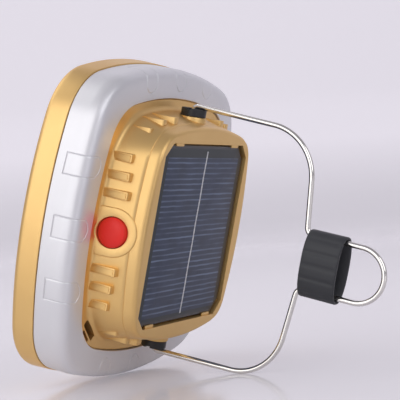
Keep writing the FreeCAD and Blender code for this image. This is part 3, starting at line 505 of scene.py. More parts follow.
@dataclass(frozen=True)
class Finish:
    """One procedural finish: mottled colour, uneven roughness and a fine bump."""

    name: str
    colour: Colour
    second: Colour
    metallic: float = 0.0
    roughness: float = 0.5
    roughness_spread: float = 0.08
    mottle: float = 60.0
    grain: float = 2500.0
    bump: float = 0.05
    bump_depth: float = 0.00002
    coat: float = 0.0
    coat_roughness: float = 0.1
    specular: float = 0.5
    transmission: float = 0.0
    index: float = 1.45

    def build(self) -> bpy.types.Material:
        """Make the material's nodes on Object coordinates and return it."""
        graph = Graph(self.name)
        place = graph.add("TexCoord", "Object", {})
        cloud = graph.noise(place, self.mottle, 4.0)
        low = max(self.roughness - self.roughness_spread, 0.02)
        rough = graph.add("MapRange", "Result", {
            "Value": cloud, "To Min": low, "To Max": self.roughness + self.roughness_spread})
        bump = graph.add("Bump", "Normal", {
            "Height": graph.noise(place, self.grain, 2.0), "Strength": self.bump,
            "Distance": self.bump_depth})
        return graph.finish({
            "Base Color": graph.mix(cloud, self.colour, self.second), "Roughness": rough,
            "Normal": bump, "Metallic": self.metallic, "Coat Weight": self.coat,
            "Coat Roughness": self.coat_roughness, "Specular IOR Level": self.specular,
            "Transmission Weight": self.transmission, "IOR": self.index})


@dataclass(frozen=True)
class CellFinish:
    """Dark solar cells under clear resin, with fine pale lines across them.

    The lines lie line_pitch apart and reach line_share of it to each side. cell_middle and
    cell_half bound the printed cells, in own X and Z; round them the resin is plain.
    """

    name: str = "solar_cells"
    dark: Colour = (0.030, 0.038, 0.060)
    blue: Colour = (0.062, 0.082, 0.145)
    line: Colour = (0.21, 0.27, 0.40)
    plain: Colour = (0.040, 0.047, 0.052)
    line_pitch: float = 2.35
    line_share: float = 0.27
    line_drift: float = 0.5
    cell_middle: tuple[float, float] = (-0.4, -1.2)
    cell_half: tuple[float, float] = (34.6, 34.9)

    def build(self) -> bpy.types.Material:
        """Make the cells on the piece's own map, which holds own X and Z in millimetres."""
        graph = Graph(self.name)
        own = graph.add("UVMap", "UV", {}, uv_map="own")
        place = graph.add("SeparateXYZ", "X", {"Vector": own}).node.outputs
        wander = graph.noise(own, 0.12, 2.0)
        height = graph.math("MULTIPLY_ADD", wander, self.line_drift, place["Y"])
        phase = graph.math("FRACT", graph.math("DIVIDE", height, self.line_pitch))
        away = graph.math("ABSOLUTE", graph.math("SUBTRACT", phase, 0.5))
        ramp = graph.add("MapRange", "Result", {
            "Value": away, "From Min": self.line_share, "From Max": 0.0},
            interpolation_type="SMOOTHSTEP")
        inside = self._inside(graph, place)
        lines = graph.math("MULTIPLY", ramp,
                           graph.math("MULTIPLY", self._strength(graph, own), inside))
        base = graph.mix(inside, self.plain, graph.mix(wander, self.dark, self.blue))
        return graph.finish({
            "Base Color": graph.mix(lines, base, self.line), "Roughness": 0.40,
            "Specular IOR Level": 0.30, "Coat Weight": 0.10, "Coat Roughness": 0.18})

    def _inside(self, graph: Graph, place: bpy.types.NodeOutputs) -> Socket:
        """1 over the printed cells and 0 over the plain strip round them."""
        sides = []
        for axis, middle, half in zip("XY", self.cell_middle, self.cell_half):
            away = graph.math("ABSOLUTE", graph.math("SUBTRACT", place[axis], middle))
            sides.append(graph.math("LESS_THAN", away, half))
        return graph.math("MULTIPLY", *sides)

    @staticmethod
    def _strength(graph: Graph, own: Socket) -> Socket:
        """Noise that changes slowly along a line and quickly from one line to the next."""
        stretched = graph.add("Mapping", "Vector", {"Vector": own, "Scale": (0.025, 0.41, 1.0)})
        return graph.add("MapRange", "Result", {
            "Value": graph.noise(stretched, 1.0, 3.0), "From Min": 0.36, "From Max": 0.66})


GOLD = Finish("gold_paint", (0.90, 0.61, 0.25), (0.84, 0.55, 0.21), metallic=0.88, roughness=0.42,
              roughness_spread=0.04, mottle=45.0, grain=5200.0, bump=0.22, coat=0.08,
              coat_roughness=0.20)
SILVER = Finish("silver_paint", (0.86, 0.86, 0.88), (0.81, 0.81, 0.835), metallic=0.55,
                roughness=0.42, roughness_spread=0.04, mottle=40.0, grain=5200.0, bump=0.22,
                coat=0.15, coat_roughness=0.22)
CLEAR = Finish("clear_lens", (0.97, 0.98, 0.98), (0.94, 0.96, 0.97), roughness=0.06,
               roughness_spread=0.03, mottle=30.0, grain=900.0, bump=0.08, transmission=0.92,
               index=1.49)
MIRROR = Finish("bright_coating", (0.90, 0.90, 0.91), (0.82, 0.82, 0.84), metallic=1.0,
                roughness=0.14, roughness_spread=0.05, mottle=80.0, grain=1400.0, bump=0.1)
PHOSPHOR = Finish("yellow_phosphor", (0.90, 0.72, 0.14), (0.82, 0.62, 0.10), roughness=0.45,
                  mottle=300.0, grain=3000.0, bump=0.2)
WHITE_BOARD = Finish("white_mask", (0.86, 0.86, 0.83), (0.80, 0.80, 0.77), roughness=0.35,
                     mottle=120.0, coat=0.2)
GREEN_BOARD = Finish("green_mask", (0.03, 0.20, 0.08), (0.02, 0.15, 0.06), roughness=0.35,
                     mottle=120.0, coat=0.3)
BARE_METAL = Finish("bare_aluminium", (0.76, 0.76, 0.78), (0.68, 0.68, 0.70), metallic=1.0,
                    roughness=0.38, mottle=150.0, grain=1800.0, bump=0.2)
ZINC = Finish("zinc_plate", (0.62, 0.62, 0.60), (0.52, 0.52, 0.52), metallic=1.0, roughness=0.32,
              mottle=400.0, grain=2600.0, bump=0.15)
WRAP = Finish("cell_wrap", (0.08, 0.20, 0.45), (0.06, 0.16, 0.38), roughness=0.3, mottle=90.0,
              coat=0.4)
BLACK = Finish("black_moulding", (0.020, 0.021, 0.023), (0.030, 0.031, 0.034), roughness=0.42,
               mottle=160.0, grain=2400.0, bump=0.3)
SLEEVE = Finish("sleeve_rubber", (0.034, 0.036, 0.041), (0.046, 0.048, 0.054), roughness=0.50,
                mottle=180.0, grain=3200.0, bump=0.5, bump_depth=0.00003)
RED = Finish("red_button", (0.96, 0.040, 0.030), (0.94, 0.036, 0.027), roughness=0.38,
             mottle=200.0, grain=3000.0, bump=0.15, specular=0.35)
RESIN = Finish("panel_resin", (0.022, 0.020, 0.022), (0.034, 0.034, 0.040), roughness=0.32,
               mottle=220.0, grain=1500.0, bump=0.1, coat=0.3)
PALE_PLASTIC = Finish("pale_plastic", (0.70, 0.70, 0.66), (0.64, 0.64, 0.60), roughness=0.5)
FOAM = Finish("foam_pad", (0.05, 0.05, 0.055), (0.08, 0.08, 0.085), roughness=0.9, mottle=900.0,
              grain=2200.0, bump=0.8, bump_depth=0.0002)
WIRE = Finish("bright_plate", (0.86, 0.84, 0.80), (0.78, 0.76, 0.72), metallic=1.0,
              roughness=0.15, roughness_spread=0.04, mottle=200.0, grain=2600.0, bump=0.06)
BUSBAR = Finish("tinned_busbar", (0.78, 0.79, 0.80), (0.60, 0.61, 0.63), metallic=0.6,
                roughness=0.4, mottle=700.0, grain=1500.0, bump=0.6, bump_depth=0.00006)

NODE_FINISHES = {
    "lens_seal": FOAM, "led_chip": PHOSPHOR, "led_board": WHITE_BOARD, "heat_sink": BARE_METAL,
    "led_screws": ZINC, "case_screws": ZINC, "panel_pad": FOAM, "switch_plunger": PALE_PLASTIC,
    "push_switch": BLACK, "control_board": GREEN_BOARD, "battery_cell_1": WRAP,
    "battery_cell_2": WRAP, "battery_holder": BLACK, "battery_contacts": ZINC,
}


class Workshop:
    """Makes pieces at the lantern's stance and keeps one material for each finish."""

    def __init__(self, stance: Stance) -> None:
        """Keep the stance and start with no materials."""
        self.stance = stance
        self.materials: dict[str, bpy.types.Material] = {}

    def material(self, finish: Finish | CellFinish) -> bpy.types.Material:
        """The finish's material, made the first time that it is asked for."""
        if finish.name not in self.materials:
            self.materials[finish.name] = finish.build()
        return self.materials[finish.name]

    def piece(self, surface: Surface, name: str, rides: Rides, slot: str,
              finish: Finish | CellFinish, replaces: Sequence[str] = (), sharp: float = 35.0,
              mapped: bool = False, cuts: Sequence[Surface] = ()) -> bpy.types.Object:
        """Args:
            surface: the piece's geometry.
            name: the piece's name.
            rides: the body that it moves with.
            slot: the record's material slot that it stands for; not used.
            finish: what it is dressed in.
            replaces: CAD nodes that it stands for.
            sharp: the angle above which an edge stays crisp, in degrees.
            mapped: as Surface.build takes it.
            cuts: closed surfaces whose insides are taken out of the piece.

        Returns:
            The finished object.
        """
        item = surface.build(name, self.stance, sharp, mapped)
        if cuts:
            self._carve(item, cuts, sharp)
        item.data.materials.append(self.material(finish))
        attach(item, rides.value)
        if replaces:
            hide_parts(*replaces)
        LOG.info("%s: %d faces", name, len(item.data.polygons))
        return item

    def _carve(self, item: bpy.types.Object, cuts: Sequence[Surface], sharp: float) -> None:
        """Take closed surfaces out of a piece and keep its smooth shading."""
        tools = [cut.build("cut", self.stance) for cut in cuts]
        for tool in tools:
            step = item.modifiers.new("cut", "BOOLEAN")
            step.operation, step.solver, step.object = "DIFFERENCE", "EXACT", tool
        graph = bpy.context.evaluated_depsgraph_get()
        whole, item.data = item.data, bpy.data.meshes.new_from_object(item.evaluated_get(graph))
        item.modifiers.clear()
        item.data.name = whole.name
        bpy.data.meshes.remove(whole)
        for tool in tools:
            bpy.data.objects.remove(tool, do_unlink=True)
        item.data.set_sharp_from_angle(angle=math.radians(sharp))

    def dress_node(self, node: str, finish: Finish | CellFinish) -> None:
        """Give a CAD node that stays in view its finish."""
        slots = frame["nodes"][node].material_slots
        for place in slots:
            place.material = self.material(finish)
        if not slots:
            frame["nodes"][node].data.materials.append(self.material(finish))


# ---- lamp face
@dataclass
class LampFace:
    """Gold bezel, clear lens and reflector."""

    shop: Workshop
    half: float = 70.3
    bow: float = 188.5
    corner: float = 26.3
    depth: float = 11.0
    flare: float = 0.6
    lip: float = 1.8
    skin: float = 2.4
    view: Station = Station(57.5, 170.0, 22.0, 0.0)
    lens_thickness: float = 2.0
    lens_overlap: float = 4.5
    lens_bevel: float = 0.4
    lens_rows: int = 40
    ridges: int = 24
    ridge_span: float = 124.0
    ridge_depth: float = 0.5
    seal_thickness: float = 1.0
    dish_depth: float = 9.2
    dish_margin: float = 2.5
    dish_inset: float = 2.7
    dish_skin: float = 1.2
    dish_waist: tuple[float, float, float, float] = (33.0, 170.0, 14.0, 6.3)
    dish_cup: tuple[float, float, float] = (13.5, 170.0, 9.0)

    def build(self) -> None:
        """Make the bezel, the lens and the reflector."""
        self._bezel()
        self._lens()
        self._reflector()

    def _bezel(self) -> None:
        """The band flares to the front, turns over a soft edge and ends in the lens lip."""
        back = Station(self.half, self.bow, self.corner, 0.0)
        lip_back = -self.depth + self.lip
        stations = [back.inset(self.skin), back, back.inset(-self.flare, -self.depth),
                    self.view.inset(0.0, -self.depth), self.view.inset(0.0, lip_back),
                    back.inset(self.skin, lip_back), back.inset(self.skin)]
        grid = shell(stations, [0.0, 0.35, 3.2, 0.5, 0.0, 0.4, 0.0], 9, 3.0)[:-1]
        self.shop.piece(Surface().grid(grid, ring=True), "bezel", Rides.LANTERN, "gold_plastic",
                        GOLD, ["front_bezel"])

    def _lens(self) -> None:
        """A clear plate whose inner face has shallow round ridges across it.

        The ridges' depth is d*|sin(pi*n*x/width)| and fades out at the rim.
        """
        front = -self.depth + self.lip
        back = front + self.lens_thickness
        rim = self.view.inset(-self.lens_overlap, front)
        edge = shell([rim.inset(self.lens_bevel), rim, rim.inset(0.0, back),
                      rim.inset(self.lens_bevel, back)])
        shares = np.linspace(1.0, 0.0, self.lens_rows)[:-1]
        front_face = edge[0][None] * shares[::-1][:, None, None]
        back_face = edge[-1][None] * shares[:, None, None]
        front_face[..., 1] = front
        fade = np.clip((1 - shares) * 8, 0.0, 1.0)[:, None]
        wave = np.abs(np.sin(math.pi * self.ridges * back_face[..., 0] / self.ridge_span))
        back_face[..., 1] = back - self.ridge_depth * fade * wave
        self.shop.piece(Surface().grid(np.concatenate([front_face, edge, back_face])), "lens",
                        Rides.LANTERN, "clear_lens", CLEAR, ["front_lens"])

    def _reflector(self) -> None:
        """A square dish that narrows in a soft curve to the light source's hole."""
        face = -self.depth + self.lip + self.lens_thickness + self.seal_thickness
        back = Station(self.half, self.bow, self.corner, face)
        flange, mouth = back.inset(self.dish_inset), self.view.inset(self.dish_margin, face)
        half, bow, corner, drop = self.dish_waist
        waist = Station(half, bow, corner, face + drop)
        cup = Station(*self.dish_cup, face + self.dish_depth)
        skin = self.dish_skin
        stations = [flange, mouth, waist, cup, cup.inset(0.0, cup.level + skin)]
        stations += [part.inset(-skin, part.level + skin) for part in (cup, waist, mouth)]
        stations.append(flange.inset(0.0, face + skin))
        grid = shell(stations, [0.0, 0.6, 9.0, 0.5, 0.0, 0.0, 9.0, 0.5, 0.0], 9, 2.5)
        self.shop.piece(Surface().grid(grid, ring=True), "dish", Rides.LANTERN,
                        "reflector_mirror", MIRROR, ["reflector"])


# ---- silver ring
@dataclass
class SilverRing:
    """The ring behind the bezel, with three outlined panels engraved on each side."""

    shop: Workshop
    outer: Station = Station(69.8, 188.0, 25.8, 0.22)
    opening: Station = Station(57.0, 169.0, 20.3, 15.5)
    depth: float = 15.5
    lip: float = 2.2
    shoulder: tuple[tuple[float, float], ...] = ((0.0, 9.4), (0.55, 12.5), (2.3, 14.8),
                                                 (6.6, 15.4))
    tongue: tuple[tuple[float, float], ...] = ((4.0, -5.0), (2.2, -5.0), (2.2, 0.0))
    panel_centres: tuple[float, ...] = (-26.0, 0.0, 26.0)
    panel_half: float = 4.4
    panel_start: float = 4.3
    panel_end: float = 63.0
    panel_bulge: float = 3.0
    groove: float = 0.28
    groove_depth: float = 0.26

    def build(self) -> None:
        """Make the ring as one grid whose rows and columns follow the engraved lines."""
        stations = [self.outer.inset(2.0), self.outer]
        stations += [self.outer.inset(*place) for place in self.shoulder]
        stations += [self.opening, self.opening.inset(0.0, self.depth - self.lip),
                     self.outer.inset(4.0, self.depth - self.lip)]
        stations += [self.outer.inset(*place) for place in self.tongue]
        profile = Profile(stations, [0.0, 0.2, 1.4, 1.5, 2.2, 2.6, 0.35, 0.0, 0.0, 0.0, 0.0, 0.0],
                          steps=8)
        start = self._length_at(profile, 3, self.panel_start)
        end = self._length_at(profile, 0, self.panel_end)
        rows = np.unique(np.round(np.concatenate(
            [profile.spaced(1.0)] + [[mark - self.groove, mark, mark + self.groove]
                                     for mark in (start, end)]), 5))
        columns = self._columns()
        across = self._across(columns)
        bulge = self._bulge(across, columns)
        lip_edge = self._length_at(profile, 0, self.opening.half + 0.4)
        reach = np.interp(rows, [end - 3.0, end - self.groove, end + self.groove, lip_edge],
                          [0.0, 1.0, 1.0, 0.0])
        lengths = rows[:, None] + reach[:, None] * bulge[None]
        grid = shell_points(profile.at(lengths), columns)
        depth = self._engraving(rows, start, end, across, columns)
        grid = grid + grid_normals(grid) * depth[..., None]
        self.shop.piece(Surface().grid(grid, ring=True), "ring", Rides.LANTERN,
                        "silver_plastic", SILVER, ["ring_shell"], sharp=50.0)

    @staticmethod
    def _length_at(profile: Profile, column: int, value: float) -> float:
        """The first length along the profile where one of its numbers passes a value."""
        numbers = profile.rows[:, column]
        crossing = np.nonzero((numbers[1:-1] - value) * (numbers[2:] - value) <= 0)[0][0] + 1
        share = (value - numbers[crossing]) / (numbers[crossing + 1] - numbers[crossing])
        return float(profile.lengths[crossing]
                     + share * (profile.lengths[crossing + 1] - profile.lengths[crossing]))

    def _columns(self) -> Columns:
        """Even columns, with three more for each upright line of a panel."""
        marks = [np.linspace(-1.0, 1.0, 61)]
        for centre in self.panel_centres:
            for side in (-1.0, 1.0):
                line = centre + side * self.panel_half
                marks.append(np.array([line - self.groove, line, line + self.groove])
                             * FLAT_SHARE / FLAT_REACH)
            marks.append(np.linspace(centre - self.panel_half, centre + self.panel_half, 13)[1:-1]
                         * FLAT_SHARE / FLAT_REACH)
        return Columns.round(np.unique(np.round(np.concatenate(marks), 5)), 15)

    @staticmethod
    def _across(columns: Columns) -> np.ndarray:
        """Distance from the side's middle for each column, and far away on the corners."""
        across = columns.place * FLAT_REACH / FLAT_SHARE
        return np.where((columns.arc % 2 == 0) & (np.abs(columns.place) <= FLAT_SHARE), across, 1e3)

    def _bulge(self, across: np.ndarray, columns: Columns) -> np.ndarray:
        """How much further in a panel's end line lies: a parabola over the panel's width."""
        bulge = np.zeros(len(columns.arc))
        for centre in self.panel_centres:
            share = np.clip(1 - ((across - centre) / self.panel_half) ** 2, 0.0, 1.0)
            bulge = np.maximum(bulge, self.panel_bulge * share)
        return bulge

    def _engraving(self, rows: np.ndarray, start: float, end: float, across: np.ndarray,
                   columns: Columns) -> np.ndarray:
        """Depth of the engraved lines at each row and column of the grid."""
        near = 0.04
        depth = np.zeros((len(rows), len(columns.arc)))
        long_rows = (rows >= start - near) & (rows <= end + near)
        end_rows = (np.abs(rows - start) < near) | (np.abs(rows - end) < near)
        for centre in self.panel_centres:
            away = np.abs(across - centre)
            on_line = np.abs(away - self.panel_half) < near
            inside = away < self.panel_half + near
            depth[np.ix_(long_rows, on_line)] = self.groove_depth
            depth[np.ix_(end_rows, inside)] = self.groove_depth
        return depth


# ---- rear housing
def spun(grid: np.ndarray, quarter_turns: float) -> np.ndarray:
    """Turn own points about the Y axis by a number of quarter turns, from +X towards +Z."""
    angle = quarter_turns * math.pi / 2
    x, y, z = np.moveaxis(grid, -1, 0)
    return np.stack([x * math.cos(angle) - z * math.sin(angle), y,
                     x * math.sin(angle) + z * math.cos(angle)], axis=-1)


def lined_bar(across: float, width: float, low: float, high: float, root: float,
              face: float) -> np.ndarray:
    """A bar on the +X wall with eased edges and a fine line cut round inside its face.

    Loops run from the root up the sides, round the edge, down into the line and up again: the
    outline shrinks from loop to loop while its distance from the axis changes.

    Args:
        across: the bar's middle along Z.
        width: its width along Z.
        low: where it starts along Y.
        high: where it ends along Y.
        root: how deep it starts, along X.
        face: where its face lies, along X.

    Returns:
        One grid to be capped at both ends.
    """
    ease, inset, line, depth = 0.3, 0.5, 0.28, 0.22
    rows = [(0.0, root), (0.0, face - ease), (ease * 0.3, face - ease * 0.3), (ease, face),
            (inset, face), (inset + 0.05, face - depth), (inset + line, face - depth),
            (inset + line + 0.05, face)]
    return stacked((root, low, across - width / 2), (face, high, across + width / 2), 0, 0.6, rows,
                   4)


@dataclass
class RearHousing:
    """Gold housing: flange, land, leaning wall, rim and tray, with its ribs and bosses."""

    shop: Workshop
    wall: Station = Station(52.0, 165.0, 26.0, 14.6)
    rim: Station = Station(47.3, 160.0, 14.5, 33.9)
    land: Station = Station(56.6, 168.6, 19.9, 14.6)
    flange: Station = Station(65.5, 183.7, 21.5, 13.3)
    skin: float = 2.2
    flange_front: float = 11.3
    cavity_end: float = 28.4
    tray_floor: float = 30.2
    rim_level: float = 34.7
    window_half: float = 40.0
    window_nick: float = 5.8
    rib_low: float = 13.6
    rib_width: float = 3.7
    rib_pitch: float = 7.65
    rib_shortening: float = 1.2
    side_rib: tuple[float, float, float] = (16.0, 26.4, 0.8)
    top_rib: tuple[float, float, float] = (22.4, 27.7, -0.2)
    pad_radius: float = 10.4
    pad_rise: float = 0.6
    pad_seat: float = 46.34
    pad_root: float = 45.14
    button_level: float = 21.4
    button_hole: float = 6.65
    button_recess: float = 7.9
    button_opening: float = 7.2
    button_reach: tuple[float, float] = (41.5, 54.0)
    boss_top: float = 50.7
    boss_radius: float = 6.1
    boss_length: float = 7.0
    disc_room: float = 5.9
    disc_room_height: float = 3.0
    pin_hole: float = 1.25
    pin_hole_depth: float = 5.5
    pivot_level: float = 23.7
    slots: tuple[tuple[float, float, float], ...] = ((60.6, 3.2, 11.0), (64.6, 1.4, 7.0))
    slot_levels: tuple[float, float] = (10.0, 16.0)
    post_offset: float = 50.0
    post_radius: float = 4.0
    post_bore: float = 1.4
    post_levels: tuple[float, float] = (-3.0, 11.4)
    wall_line: float = 29.6
    wall_line_half: float = 0.2
    tab_offset: float = 27.2
    tab_half: float = 3.5
    tab_reach: float = 1.3
    tab_root: float = 1.0
    tab_levels: tuple[float, float] = (33.0, 34.0)

    def build(self) -> None:
        """Make the shell, and as a second piece everything that stands on it, and cut each."""
        self.shop.piece(self._shell(), "housing", Rides.LANTERN, "gold_plastic", GOLD,
                        ["rear_housing"], sharp=38.0, cuts=self._cuts())
        self.shop.piece(self._details(), "housing_details", Rides.LANTERN, "gold_plastic", GOLD,
                        sharp=38.0, cuts=self._pivot_cuts())

    def _shell(self) -> Surface:
        """Run from the inner ceiling down to the flange and back up to the tray floor.

        The wall has a fine line cut round it a little below its rim.
        """
        def on_wall(level: float, inset: float = 0.0) -> Station:
            return Station(*(number - inset for number in self._wall_section(level)), level)

        window = Station(self.window_half, 160.0, 10.0, self.rim_level, 1.0, self.window_nick)
        line, cut = self.wall_line, self.wall_line_half
        stations = [self.rim.inset(self.skin, self.cavity_end),
                    self.wall.inset(self.skin, self.flange_front),
                    self.flange.inset(0.0, self.flange_front), self.flange,
                    self.land.inset(0.0, self.flange.level), self.land, self.wall,
                    on_wall(line - cut), on_wall(line, cut), on_wall(line + cut),
                    self.rim.inset(-0.05), self.rim.inset(1.1, self.rim_level), window,
                    window.inset(0.0, self.tray_floor)]
        setbacks = [0.0, 0.0, 0.3, 0.3, 0.0, 0.35, 2.2, 0.0, 0.0, 0.0, 1.5, 0.8, 0.25, 0.0]
        return Surface().grid(shell(stations, setbacks, 8, 1.6))

    def _wall_section(self, level: float | np.ndarray) -> list[float | np.ndarray]:
        """Half width, bow and corner of the leaning wall at one level or at many."""
        share = (level - self.wall.level) / (self.rim.level - self.wall.level)
        return [low + (high - low) * share
                for low, high in zip(self.wall.row()[:3], self.rim.row()[:3])]

    def _wall_at(self, across: float) -> float:
        """The foot of a wall at a distance from the middle of its side.

        On the side's arc it lies at half - bow + sqrt(bow^2 - across^2), and on the corner's arc,
        whose centre is at c from both middle lines, at c + sqrt(corner^2 - (across - c)^2).
        """
        half, bow, corner = self.wall.half, self.wall.bow, self.wall.corner
        reach = bow - half
        centre = (math.sqrt(8 * (bow - corner) ** 2 - 4 * reach ** 2) - 2 * reach) / 4
        if across <= bow * centre / (bow - corner):
            return half - bow + math.sqrt(bow ** 2 - across ** 2)
        return centre + math.sqrt(max(corner ** 2 - (across - centre) ** 2, 0.0))

    def _ribs(self, first: float, high: float, rise: float) -> list[np.ndarray]:
        """Three bars each side of the middle of the +X wall, the outer ones shorter.

        Args:
            first: the middle of the nearest bar along Z.
            high: where that bar ends along Y.
            rise: how far the faces stand off the wall's foot.
        """
        bars = []
        for index in range(3):
            across = first + self.rib_pitch * index
            face = self._wall_at(across + self.rib_width / 2) + rise
            bars += [lined_bar(across * sign, self.rib_width, self.rib_low,
                               high - self.rib_shortening * index, face - 7.0, face)
                     for sign in (-1.0, 1.0)]
        return bars

    def _details(self) -> Surface:
        """Ribs on all four walls, button pad, pivot bosses, panel tabs and screw posts."""
        details = Surface()
        for row, quarters in ((self.side_rib, (0, 2)), (self.top_rib, (1, 3))):
            for bar in self._ribs(*row):
                for quarter in quarters:
                    details.grid(spun(bar, quarter))
        details.grid(self._button_pad(), ring=True)
        top, radius = self.boss_top, self.boss_radius
        boss = turned([(top - self.boss_length, radius), (top - 0.5, radius),
                       (top - 0.15, radius - 0.15), (top, radius - 0.5)], 2,
                      (0.0, self.pivot_level, 0.0), 72)
        foot, head = self.post_levels
        post = [(foot, self.post_bore), (foot, self.post_radius), (head, self.post_radius),
                (head, self.post_bore)]
        under, over = self.tab_levels
        for sign in (-1.0, 1.0):
            details.grid(boss * [1.0, 1.0, sign])
            for other in (-1.0, 1.0):
                across = self.tab_offset * other
                tab = soft_block((across - self.tab_half, under, self.window_half - self.tab_reach),
                                 (across + self.tab_half, over, self.window_half + self.tab_root),
                                 1, 0.6, 0.25)
                details.grid(tab * [1.0, 1.0, sign])
            for other in (-1.0, 1.0):
                place = (self.post_offset * sign, 0.0, self.post_offset * other)
                details.grid(turned(post, 1, place, 32), ring=True)
        return details

    def _lean_at(self, level: np.ndarray, across: np.ndarray) -> np.ndarray:
        """The leaning wall's outer face: h(level) - bow + sqrt(bow^2 - across^2)."""
        half, bow, _ = self._wall_section(level)
        return half - bow + np.sqrt(bow ** 2 - across ** 2)

    def _button_pad(self) -> np.ndarray:
        """A tongue with a round end that carries the button's hole, from the land up the wall.

        Columns are rays from the hole's centre: the outer loop is round on the panel's side and
        runs straight down to the land on the other. The face stands a little off the leaning
        wall and follows it, with a fine line cut round inside its edge.
        """
        foot = self.button_level - self.rib_low
        corner = math.atan2(foot, self.pad_radius)
        angle = np.unique(np.concatenate([np.linspace(-math.pi, math.pi, 97)[:-1],
                                          [-corner, corner - math.pi]]))
        north, east = np.sin(angle), np.cos(angle)
        ease = 0.45
        turn = np.linspace(0.0, math.pi / 2, 6)
        outer = [(ease * (1 - math.cos(t)), self.pad_rise - ease * (1 - math.sin(t))) for t in turn]
        rim = 0.3
        inner = [(rim, self.pad_rise), (rim * 0.3, self.pad_rise - rim * 0.3),
                 (0.0, self.pad_rise - rim)]

        def outline(shrink: float) -> np.ndarray:
            side = self.pad_radius - shrink
            straight = np.minimum(side / np.maximum(np.abs(east), 1e-6),
                                  foot / np.maximum(-north, 1e-6))
            return np.where(north >= 0, side, straight)

        def loop(radius: np.ndarray, reach: float | np.ndarray) -> np.ndarray:
            level, across = self.button_level + radius * north, radius * east
            return np.stack([np.broadcast_to(reach, level.shape), level, across], axis=-1)

        def leaning(radius: np.ndarray, rise: float) -> np.ndarray:
            reach = self._lean_at(self.button_level + radius * north, radius * east) + rise
            return loop(radius, reach)

        hole = np.full(len(angle), self.button_hole)
        recess = np.full(len(angle), self.button_recess)
        rows = [loop(outline(0.0), self.pad_root)]
        rows += [leaning(outline(shrink), rise) for shrink, rise in outer]
        rows += [leaning(hole + wide, rise) for wide, rise in inner]
        rows += [loop(hole, self.pad_seat), loop(recess, self.pad_seat),
                 loop(recess, self.pad_root)]
        return np.array(rows)

    def _pivot_cuts(self) -> list[Surface]:
        """Room for each disc, with the blind hole for the bail's pin at its middle."""
        top = self.boss_top
        profile = [(top - self.pin_hole_depth, self.pin_hole), (top, self.pin_hole),
                   (top, self.disc_room), (top + self.disc_room_height, self.disc_room)]
        room = turned(profile, 2, (0.0, self.pivot_level, 0.0), 64)
        return [Surface().grid(room * [1.0, 1.0, sign]) for sign in (-1.0, 1.0)]

    def _cuts(self) -> list[Surface]:
        """The button's opening, the pins' holes and the slots across the two lower corners."""
        inner, outer = self.button_reach
        profile = [(inner, self.button_recess), (self.pad_seat, self.button_recess),
                   (self.pad_seat, self.button_opening), (outer, self.button_opening)]
        opening = turned(profile, 0, (0.0, self.button_level, 0.0), 48)
        cuts = [Surface().grid(opening)]
        under, over = self.slot_levels
        for corner in (2.5, 3.5):
            for start, wide, long in self.slots:
                block = soft_block((start, under, -long / 2), (start + wide, over, long / 2), 1,
                                   0.4, 0.05)
                cuts.append(Surface().grid(spun(block, corner)))
        return cuts + self._pivot_cuts()


# ---- panel and button
@dataclass
class SolarPanel:
    """Dark laminated plate with cut corners, the printed cells and their busbar."""

    shop: Workshop
    half: float = 39.2
    nick: float = 5.8
    back: float = 31.0
    front: float = 33.0
    margin: float = 1.5
    busbar_place: float = -1.8
    busbar_half: float = 36.6
    busbar_width: float = 0.58
    busbar_low: float = 0.05
    busbar_high: float = 0.16

    def build(self) -> None:
        """Make the plate, the cells a hair above it and the strip down their middle."""
        plate = Station(self.half, 160.0, 10.0, self.back, 1.0, self.nick)
        bevel = 0.2
        grid = shell([plate.inset(bevel), plate.inset(0.0, self.back + bevel),
                      plate.inset(0.0, self.front - bevel), plate.inset(bevel, self.front)])
        self.shop.piece(Surface().grid(grid), "panel_plate", Rides.LANTERN, "solar_glass", RESIN,
                        ["solar_panel"])
        cells = Station(self.half - self.margin, 160.0, 10.0, self.front - 0.02, 1.0,
                        self.nick - 0.9)
        grid = shell([cells, cells.inset(0.0, self.front + 0.05),
                      cells.inset(0.15, self.front + 0.07)])
        self.shop.piece(Surface().grid(grid), "panel_cells", Rides.LANTERN, "solar_glass",
                        CellFinish(), mapped=True)
        self.shop.piece(self._busbar(), "panel_busbar", Rides.LANTERN, "solar_glass", BUSBAR)

    def _busbar(self) -> Surface:
        """A thin strip whose edges wander a little, as hand-laid ribbon does.

        Half its width is w + 0.10*sin(1.9z) + 0.07*sin(4.3z + 1) and its middle drifts by
        0.10*sin(0.31z), with z in millimetres.
        """
        level = np.linspace(-self.busbar_half, self.busbar_half, 121)
        width = self.busbar_width + 0.10 * np.sin(level * 1.9) + 0.07 * np.sin(level * 4.3 + 1.0)
        drift = 0.10 * np.sin(level * 0.31)
        low, rise = self.front + self.busbar_low, self.front + self.busbar_high
        columns = [np.stack([self.busbar_place + drift + width * share,
                             np.full(len(level), height), level], axis=-1)
                   for share, height in ((-1.0, low), (-0.7, rise), (0.7, rise), (1.0, low))]
        return Surface().grid(np.stack(columns, axis=1))


@dataclass
class ButtonUnit:
    """The red cap of the push switch."""

    shop: Workshop
    level: float = 21.4
    face: float = 52.44
    base: float = 44.86
    radius: float = 6.37
    flange_radius: float = 7.6
    flange_depth: float = 1.2
    dome_radius: float = 5.9
    dome_drop: float = 0.9

    def build(self) -> None:
        """Turn the cap about X.

        Its face falls by dome_drop*s^4 from the middle to s = 1 near the edge.
        """
        dome = [(self.face - self.dome_drop * share ** 4, self.dome_radius * share)
                for share in np.linspace(0.05, 1.0, 14)]
        edge = [(self.face - 1.08, 6.16), (self.face - 1.35, 6.30), (self.face - 1.7, self.radius)]
        seat = self.base + self.flange_depth
        profile = dome + edge + [(seat, self.radius), (seat, self.flange_radius),
                                 (self.base, self.flange_radius), (self.base, 0.3)]
        self.shop.piece(Surface().grid(turned(profile, 0, (0.0, self.level, 0.0), 72)),
                        "button_cap_skin", Rides.BUTTON, "button_red", RED, ["button_cap"])


